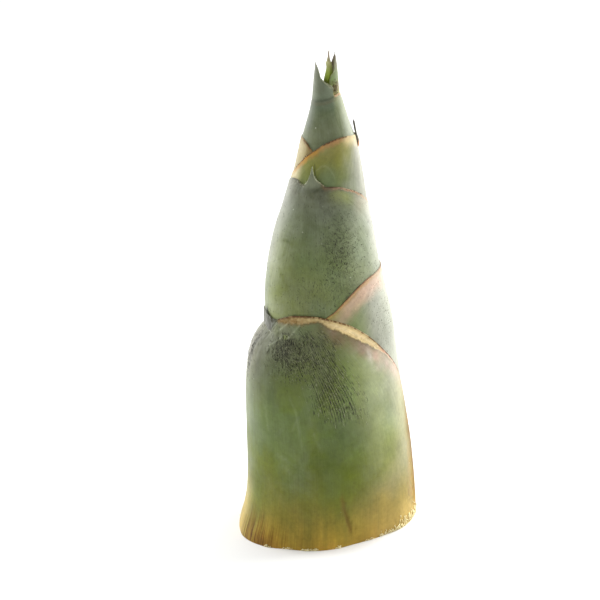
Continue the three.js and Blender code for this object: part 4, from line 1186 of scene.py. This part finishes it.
SPEAR_LEFT = Curve([(206, 20.6), (214, 20.3), (220, 20.0), (226.6, 19.75), (228.4, 20.05), (230, 20.6), (231.6, 21.1), (233.3, 21.55), (234.6, 21.8), (235.3, 21.72), (236.1, 21.68),
                    (236.9, 22.15), (237.9, 22.5), (239.4, 22.95), (241.0, 23.2), (242.5, 23.95)])
SPEAR_RIGHT = Curve([(206, 23.0), (214, 23.2), (220, 23.3), (225.6, 23.5), (227.5, 24.1), (229.4, 24.6), (231.4, 24.9), (234.3, 24.65), (236.0, 24.45), (236.6, 24.2), (238.2, 23.9),
                     (239.8, 23.83), (241.4, 24.0), (242.5, 24.1)])


def build_spear():
    """The innermost leaf, folded about its middle, round the rolled core."""
    rows, cols = 64, 15
    zs = np.concatenate([np.linspace(206, 225, 12), np.linspace(225.6, 242.5, rows - 12)])
    u = np.linspace(-1, 1, cols)
    left = SPEAR_LEFT(zs) + 0.09 * fbm(zs / 0.9, 0, 0, 141, 2) * step(226, 230, zs) * step(242, 240, zs)
    right = SPEAR_RIGHT(zs) + 0.05 * fbm(zs / 0.9, 5, 0, 142, 2) * step(241, 239, zs)
    half, mid = (right - left) / 2, (right + left) / 2
    v = []
    for side in (1, -1):
        th = 0.34 * np.minimum(1, half / 0.5)
        fold = 1 - np.abs(u) ** 1.3
        y = (5.9 - 0.9 * half[:, None] * fold[None, :] - 0.25 * half[:, None] * u[None, :] * 0.5)
        y = y - side * th[:, None] * (0.3 + 0.7 * (1 - np.abs(u[None, :]) ** 3)) / 2
        x = mid[:, None] + half[:, None] * u[None, :]
        v.append(np.stack([x, y, zs[:, None] + 0 * x], -1).reshape(-1, 3))
    v = np.concatenate(v)
    h = rows * cols
    i, j = np.meshgrid(np.arange(rows - 1), np.arange(cols - 1), indexing="ij")
    a = (i * cols + j).ravel()
    faces = [np.stack([a, a + 1, a + cols + 1, a + cols], -1), np.stack([h + a + cols, h + a + cols + 1, h + a + 1, h + a], -1)]
    k = np.arange(rows - 1) * cols
    faces.append(np.stack([k + cols, h + k + cols, h + k, k], -1))
    e = k + cols - 1
    faces.append(np.stack([e, h + e, h + e + cols, e + cols], -1))
    j = np.arange(cols - 1)
    faces.append(np.stack([j + 1, j, h + j, h + j + 1], -1))
    t = (rows - 1) * cols
    faces.append(np.stack([t + j, t + j + 1, h + t + j + 1, h + t + j], -1))
    # the rolled core under it
    a1 = np.arange(-180, 180, 12.0)
    levels = np.array([166, 180, 195, 203, 208, 213, 217, 220.5])
    core = Curve([(165, 12.0), (180, 10.0), (195, 8.2), (208, 4.6), (216, 2.6), (220.5, 0.4)])
    n, base = len(a1), len(v)
    rings = []
    for level in levels:
        z = np.full(n, level)
        r = np.minimum(core(z), outline(a1, z) - depth(len(SHEATHS), a1, z) - 0.3)
        q = place(a1, z, r)
        q[:, 1] += 1.6 * step(200, 216, level)
        rings.append(q)
    i = np.arange(n)
    j = (i + 1) % n
    for k in range(len(levels) - 1):
        faces.append(np.stack([k * n + i, k * n + j, (k + 1) * n + j, (k + 1) * n + i], -1) + base)
    faces.append(np.array([(np.arange(n)[::-1]) + base]))
    faces.append(np.array([(np.arange(n) + (len(levels) - 1) * n) + base]))
    p = np.concatenate([v] + rings)
    z = p[:, 2]
    col = Ramp([(205, (104, 124, 26)), (226, (158, 174, 66)), (228.5, (160, 182, 60)), (231, (158, 178, 70)), (233.5, (156, 164, 92)), (236.5, (168, 166, 118)), (238, (152, 142, 116)),
                (240, (140, 124, 112)), (242, (136, 120, 114))])(z + 0.5 * fbm(p[:, 0] / 0.9, p[:, 1], z / 2.2, 131, 3))
    col = blend(col, 0.5 * step(0.05, 0.4, fbm(p[:, 0] / 0.35, p[:, 1] / 0.5, z / 3, 132, 2)) * step(232, 236, z), lin(120, 112, 66))
    edge = np.zeros(len(p))
    edge[:2 * h] = np.tile(np.tile(np.abs(u), rows), 2)
    right_side = np.zeros(len(p))
    right_side[:2 * h] = np.tile(np.tile(u, rows), 2)
    col = blend(col, 0.7 * step(0.72, 0.95, right_side) * step(227, 230, z), lin(190, 192, 146))
    col = blend(col, 0.45 * step(0.8, 0.98, edge) * step(230, 233, z), lin(176, 180, 130))
    low = step(229.5, 226.6, z) * step(0.2, -0.5, right_side) * step(-0.3, 0.2, fbm(p[:, 0] / 0.8, p[:, 1], z / 0.9, 133, 3))
    col = blend(col, 0.7 * low, lin(58, 44, 22))
    vein = np.stack([p[:, 0] * 2, z, np.full(len(z), 70.0)], -1)
    mask = np.stack([np.full(len(z), 0.05), np.full(len(z), 0.1), np.full(len(z), 0.3)], -1)
    obj = make_object("central_spear_leaf", p, faces, dict(col=col, vein=vein, mask=mask))
    obj.data.materials.append(leaf("central_spear", streak=0.14, mottle=0.14, spec=0.25))
    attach(obj, "root")
    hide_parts("central_spear")
    return obj


pieces.append(build_spear())


def build_blade_4():
    """The narrow blade of sheath_4, standing beside the shoot at its right."""
    spine = [(33.15, 4.9, 193.2), (33.85, 4.9, 195.2), (33.8, 5.0, 197.0), (33.35, 5.0, 199.2), (33.0, 5.1, 201.3), (32.78, 5.1, 203.6), (32.6, 5.2, 205.6), (32.5, 5.2, 207.4)]
    v, f = leaf_blade(spine, [3.0, 3.1, 2.7, 2.2, 1.7, 1.2, 0.8, 0.05], 90, 0.3, 1.05, n=13, rows=44)
    z = v[:, 2]
    col = Ramp([(193, (170, 120, 70)), (195.8, (150, 96, 48)), (197.2, (72, 60, 40)), (200, (56, 54, 46)), (204, (60, 56, 52)), (207, (76, 68, 66))])(z + 0.6 * fbm(v[:, 1] / 1.2, z / 1.5, 0, 151, 3))
    vein = np.stack([v[:, 1] * 2, z, np.full(len(z), 90.0)], -1)
    mask = np.stack([np.full(len(z), 0.1), np.full(len(z), 0.2), np.full(len(z), 0.4)], -1)
    obj = make_object("sheath_4_blade", v, f, dict(col=col, vein=vein, mask=mask))
    obj.data.materials.append(leaf("sheath_4_blade", streak=0.2, sheen=0.1, spec=0.12))
    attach(obj, "root")
    return obj


pieces.append(build_blade_4())


# ------------------------------------------------------------------ hairs and fibres
def surface(n, a, z):
    """Radius of sheath n's built skin at (a, z)."""
    g = BODY[n]
    i = np.clip(np.searchsorted(g["a"], a) - 1, 0, len(g["a"]) - 2)
    f = (a - g["a"][i]) / (g["a"][i + 1] - g["a"][i])
    out = np.empty(len(a))
    for k in range(len(a)):
        r0 = np.interp(z[k], g["z"][i[k]], g["r"][i[k]])
        r1 = np.interp(z[k], g["z"][i[k] + 1], g["r"][i[k] + 1])
        out[k] = r0 * (1 - f[k]) + r1 * f[k]
    return out


def slivers(name, roots, tips, width, material):
    """Thin three-sided spikes from roots to tips, with a kink in the middle."""
    roots, tips = np.asarray(roots, float), np.asarray(tips, float)
    d = tips - roots
    length = np.linalg.norm(d, axis=1, keepdims=True)
    d = d / length
    out = roots - np.stack([CENTRE(roots[:, 2]), 8 * (roots[:, 2] / 250) ** 2, roots[:, 2]], -1)
    out[:, 2] = 0
    out /= np.linalg.norm(out, axis=1, keepdims=True)
    side = np.cross(d, out)
    side /= np.linalg.norm(side, axis=1, keepdims=True)
    up = np.cross(side, d)
    w = np.asarray(width)[:, None]
    mid = roots + d * length * 0.55 + up * w * 0.4
    v = np.stack([roots + side * w / 2, roots - side * w / 2, roots + up * w * 0.6,
                  mid + side * w * 0.42, mid - side * w * 0.42, mid + up * w * 0.55, tips], 1).reshape(-1, 3)
    v[:, 2] = np.maximum(v[:, 2], 0.02)
    b = (np.arange(len(roots)) * 7)[:, None]
    quads = np.concatenate([b + np.array([q]) for q in ([0, 3, 5, 2], [2, 5, 4, 1], [1, 4, 3, 0])])
    tris = np.concatenate([b + np.array([q]) for q in ([3, 6, 5], [5, 6, 4], [4, 6, 3], [0, 2, 1])])
    obj = make_object(name, v, [quads, tris], smooth=False)
    obj.data.materials.append(material)
    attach(obj, "root")
    return obj


def vein_slope(s, a, z):
    """Change of angle per millimetre of height along a vein."""
    q0 = veins(s, a, z)
    da, dz = 0.5, 0.5
    qa = (veins(s, a + da, z) - veins(s, a - da, z)) / (2 * da)
    qz = (veins(s, a, z + dz) - veins(s, a, z - dz)) / (2 * dz)
    return np.clip(-qz / np.where(np.abs(qa) < 1e-5, 1e-5, qa), -4, 4)


def hairs_on(n, name, density, count, length, width, seed, material, lift=(0.05, 0.25), jitter=0.25, rows=0.0, offset=0.0):
    """Hairs lying along the veins of sheath n, thrown where density(a, z) allows."""
    g = np.random.default_rng(seed)
    s = SHEATHS[n]
    a = g.uniform(-110, 110, count * 14)
    top = s["edge"](a) - 1.0
    z = g.uniform(density.zlow, density.zhigh, count * 14)
    p = density(a, z) * (z < top)
    if rows:
        q = veins(s, a, z) * s["reach"]
        q = q / rows + offset + 0.25 * fbm(q / 6.0, 0, 0, seed, 2)
        near = np.abs(q - np.round(q))
        p = p * np.exp(-((near / 0.16) ** 2))
    keep = g.uniform(0, 1, len(a)) < p
    a, z = a[keep][:count], z[keep][:count]
    m = len(a)
    ln = g.uniform(length[0], length[1], m)
    slope = vein_slope(s, a, z) + g.normal(0, jitter, m) * 0.5
    r = surface(n, a, z)
    dz = ln / np.sqrt(1 + (slope * np.radians(1) * r) ** 2)
    a2, z2 = a - slope * dz * -1, z + dz
    r2 = surface(n, a2, np.minimum(z2, s["edge"](a2) - 0.3)) + g.uniform(lift[0], lift[1], m)
    return slivers(name, place(a, z, r + 0.02), place(a2, z2, r2), g.uniform(width[0], width[1], m), material)


def fringe(n, name, ranges, length, width, seed, material, lift=(0.1, 0.5), lean=1.2, down=0.15):
    """Short hairs along the top edge of sheath n: ranges of (from, to, count)."""
    g = np.random.default_rng(seed)
    s = SHEATHS[n]
    a = np.concatenate([g.uniform(lo, hi, k) for lo, hi, k in ranges])
    top = s["edge"](a) + s["rise"](a)
    m = len(a)
    z = top - down - np.abs(g.normal(0, 0.15, m))
    r = surface(n, a, z)
    ln = g.uniform(length[0], length[1], m)
    a2, z2 = a + g.normal(0, lean, m), z + ln
    return slivers(name, place(a, z, r - 0.03), place(a2, z2, r + g.uniform(lift[0], lift[1], m)), g.uniform(width[0], width[1], m), material)


class Patch:
    def __init__(self, f, zlow, zhigh):
        self.f, self.zlow, self.zhigh = f, zlow, zhigh

    def __call__(self, a, z):
        return self.f(a, z)


dark_hair = plain_fibre("dark_hair", lin(56, 52, 38), lin(26, 23, 16), 0.55)
brown_hair = plain_fibre("brown_hair", lin(92, 70, 36), lin(48, 34, 16), 0.6)
grey_hair = plain_fibre("grey_hair", lin(128, 126, 110), lin(92, 90, 76), 0.6)
pale_hair = plain_fibre("pale_hair", lin(172, 174, 142), lin(132, 136, 104), 0.6)
def crown(a, z):
    clot = step(-0.25, 0.35, fbm(a / 3.2, z / 2.2, 0, 54, 3))
    return np.clip(np.exp(-(((a + 38) / 10) ** 2) - (((z - 103) / 4.4) ** 2)) * (0.35 + 0.65 * clot) + 0.34 * np.exp(-(((a + 24) / 18) ** 2) - (((z - 98.5) / 8) ** 2)), 0, 1)

def fan(a, z):
    axis = a - np.interp(z, [66, 90, 111], [11.0, 0.0, -13.0])
    return np.exp(-((axis / 13) ** 2)) * step(62, 76, z) * step(114, 106, z) * (0.6 + 0.4 * step(94, 78, z))

pieces.append(hairs_on(0, "sheath_1_hairs", Patch(crown, 70, 118), 3800, (0.5, 1.6), (0.07, 0.14), 7, dark_hair))
pieces.append(hairs_on(0, "sheath_1_pale_hairs", Patch(crown, 70, 118), 2500, (0.6, 1.5), (0.07, 0.14), 17, pale_hair, jitter=0.4))
pieces.append(hairs_on(0, "sheath_1_bristles", Patch(lambda a, z: crown(a, z) ** 1.3, 66, 118), 300, (0.5, 1.0), (0.24, 0.36), 27, dark_hair))
pieces.append(hairs_on(0, "sheath_1_hair_rows", Patch(fan, 60, 118), 3400, (1.0, 3.2), (0.09, 0.16), 8, dark_hair, jitter=0.04, rows=1.25))
pieces.append(hairs_on(0, "sheath_1_pale_rows", Patch(fan, 60, 118), 2000, (1.2, 3.2), (0.08, 0.14), 18, pale_hair, jitter=0.04, rows=1.25, offset=0.5))
pieces.append(hairs_on(0, "sheath_1_side_hairs", Patch(lambda a, z: np.exp(-(((a + 79) / 2.6) ** 2)) * step(80, 94, z) * step(109, 98, z) + 0.2 * np.exp(-(((a + 84) / 15) ** 2) - (((z - 95) / 10) ** 2)), 70, 112), 900, (0.6, 1.5), (0.08, 0.17), 9, dark_hair, lift=(0.1, 0.5)))
dots = Patch(lambda a, z: 0.9 * np.exp(-(((a - 16) / 17) ** 2) - (((z - 149) / 15) ** 2)) + 0.22 * np.exp(-(((a - 8) / 38) ** 2) - (((z - 132) / 14) ** 2)) + 0.045, 118, 178)
pieces.append(hairs_on(2, "sheath_3_hairs", dots, 1600, (0.4, 0.9), (0.09, 0.17), 10, dark_hair))
dense = Patch(lambda a, z: np.exp(-(((a - 15.5 + (z - 150) * 0.75) / 6) ** 2) - (((z - 150) / 9) ** 2)), 128, 176)
pieces.append(hairs_on(2, "sheath_3_bristles", dense, 110, (0.5, 1.0), (0.22, 0.38), 31, dark_hair))
low = Patch(lambda a, z: 0.8 * np.exp(-(((a - 62) / 16) ** 2) - (((z - 110) / 13) ** 2)) + 0.1, 84, 132)
pieces.append(hairs_on(1, "sheath_2_hairs", low, 300, (0.4, 0.9), (0.08, 0.14), 12, grey_hair))
pieces.append(fringe(2, "sheath_3_torn_edge", [(-52, -40, 26), (-36, -18, 16)], (0.4, 1.3), (0.16, 0.3), 32, pale_hair, lift=(0.2, 0.8)))
pieces.append(fringe(2, "sheath_3_margin_hairs", [(-52, -41, 14), (-16, 12, 60), (12, 60, 30)], (0.3, 0.8), (0.12, 0.26), 33, brown_hair))
pieces.append(fringe(3, "sheath_4_margin_hairs", [(-70, -20, 46), (-20, 44, 50), (296, 320, 30)], (0.3, 0.8), (0.12, 0.26), 34, brown_hair))
pieces.append(fringe(4, "sheath_5_margin_hairs", [(-8, 10, 26), (6, 22, 60), (-90, -10, 24)], (0.4, 1.2), (0.14, 0.26), 35, pale_hair, lift=(0.1, 0.6)))
foot = Patch(lambda a, z: np.exp(-(((a - 34) / 15) ** 2) - (((z - 223.8) / 2.6) ** 2)), 219.5, 230)
pieces.append(hairs_on(5, "sheath_6_foot_hairs", foot, 90, (0.3, 0.8), (0.14, 0.26), 37, brown_hair, lift=(0.1, 0.35), jitter=0.8))
pieces.append(fringe(5, "sheath_6_margin_hairs", [(0, 40, 18)], (0.2, 0.5), (0.08, 0.16), 36, brown_hair))


def rim_fibres():
    """Pale torn fibres on the cut rim, in clumps, and the frayed corner at the right."""
    g = np.random.default_rng(21)
    clumps = [(-45, 1.2, 8), (-32, 1.8, 12), (-18, 1.6, 16), (-12, 2.5, 34), (-3, 2.5, 26), (4, 2, 20), (27, 1.5, 8), (38, 2.0, 20), (44, 2.0, 30), (50, 2.2, 34), (57, 2.5, 40), (64, 2.5, 40), (71, 2.5, 26),
              (80, 3, 10), (110, 12, 14), (150, 16, 18), (200, 20, 18), (240, 15, 14)]
    a, up = [], []
    for centre, spread, count in clumps:
        t = g.normal(centre, spread, count)
        a.append(t)
        tall = 5.5 if 52 < centre < 75 else 2.4 if 36 < centre < 52 else 1.0
        up.append(np.abs(g.normal(0, 0.5, count)) * tall)
    a, up = np.concatenate(a), np.concatenate(up)
    a = np.where(a > 92, a - 360, a)
    a = np.clip(a, -304, 92.0)
    m = len(a)
    z = up + 0.45
    ln = g.uniform(0.7, 2.4, m) * np.where(up > 2, 1.5, 1.0)
    r = surface(0, a, z)
    a2 = a + g.normal(0, 1.6, m)
    z2 = np.maximum(z - ln * g.uniform(0.5, 1.0, m), 0.04)
    r2 = surface(0, np.clip(a2, -304, 92.8), z2) + g.uniform(0.05, 0.45, m)
    root, tip = place(a, z, r), place(a2, z2, r2)
    for p in (root, tip):
        p[:, 0] = np.clip(p[:, 0], -46.0, 46.8)
        p[:, 1] = np.clip(p[:, 1], -41.8, 43.4)
    return slivers("sheath_1_fibres", root, tip, g.uniform(0.2, 0.6, m), plain_fibre("pale_fibre", lin(252, 244, 196), lin(232, 214, 150), 0.6))


pieces.append(rim_fibres())


# ------------------------------------------------------------------ floor, lights, world
def floor():
    mesh = bpy.data.meshes.new("floor")
    s = 4.0
    mesh.from_pydata([(-s, -s, 0), (s, -s, 0), (s, s, 0), (-s, s, 0)], [], [(0, 1, 2, 3)])
    obj = bpy.data.objects.new("floor", mesh)
    bpy.context.scene.collection.objects.link(obj)
    n = Nodes("floor")
    n.bsdf.inputs["Base Color"].default_value = (0.92, 0.92, 0.915, 1)
    n.bsdf.inputs["Roughness"].default_value = 0.9
    n.bsdf.inputs["Specular IOR Level"].default_value = 0.1
    mesh.materials.append(n.mat)


def area(name, pos, target, size, power, colour=(1, 1, 1)):
    light = bpy.data.lights.new(name, "AREA")
    light.shape, light.size, light.size_y = "RECTANGLE", size[0], size[1]
    light.energy, light.color = power, colour
    obj = bpy.data.objects.new(name, light)
    from mathutils import Vector
    obj.location = pos
    obj.rotation_euler = (Vector(target) - Vector(pos)).to_track_quat("-Z", "Y").to_euler()
    bpy.context.scene.collection.objects.link(obj)


floor()
world = bpy.data.worlds.new("studio")
bpy.context.scene.world = world
world.use_nodes = True
def studio(tree, front, back):
    """A white room, dim on the near side and bright on the far side."""
    tex = tree.nodes.new("ShaderNodeTexCoord")
    sep = tree.nodes.new("ShaderNodeSeparateXYZ")
    tree.links.new(tex.outputs["Generated"], sep.inputs[0])
    m = tree.nodes.new("ShaderNodeMapRange")
    m.interpolation_type = "SMOOTHSTEP"
    tree.links.new(sep.outputs["Y"], m.inputs["Value"])
    for k, v in zip(("From Min", "From Max", "To Min", "To Max"), (-0.75, 0.75, front, back)):
        m.inputs[k].default_value = v
    tree.links.new(m.outputs["Result"], tree.nodes["Background"].inputs["Strength"])


world.node_tree.nodes["Background"].inputs["Color"].default_value = (1, 1, 1, 1)
studio(world.node_tree, 0.5, 1.6)
area("left", (-1.1, 0.75, 0.45), (0, 0, 0.12), (0.7, 1.4), 17)
area("right", (1.15, 0.5, 0.45), (0, 0, 0.12), (1.0, 1.4), 38)
bpy.context.scene.view_settings.view_transform = "Standard"
bpy.context.scene.view_settings.look = "None"
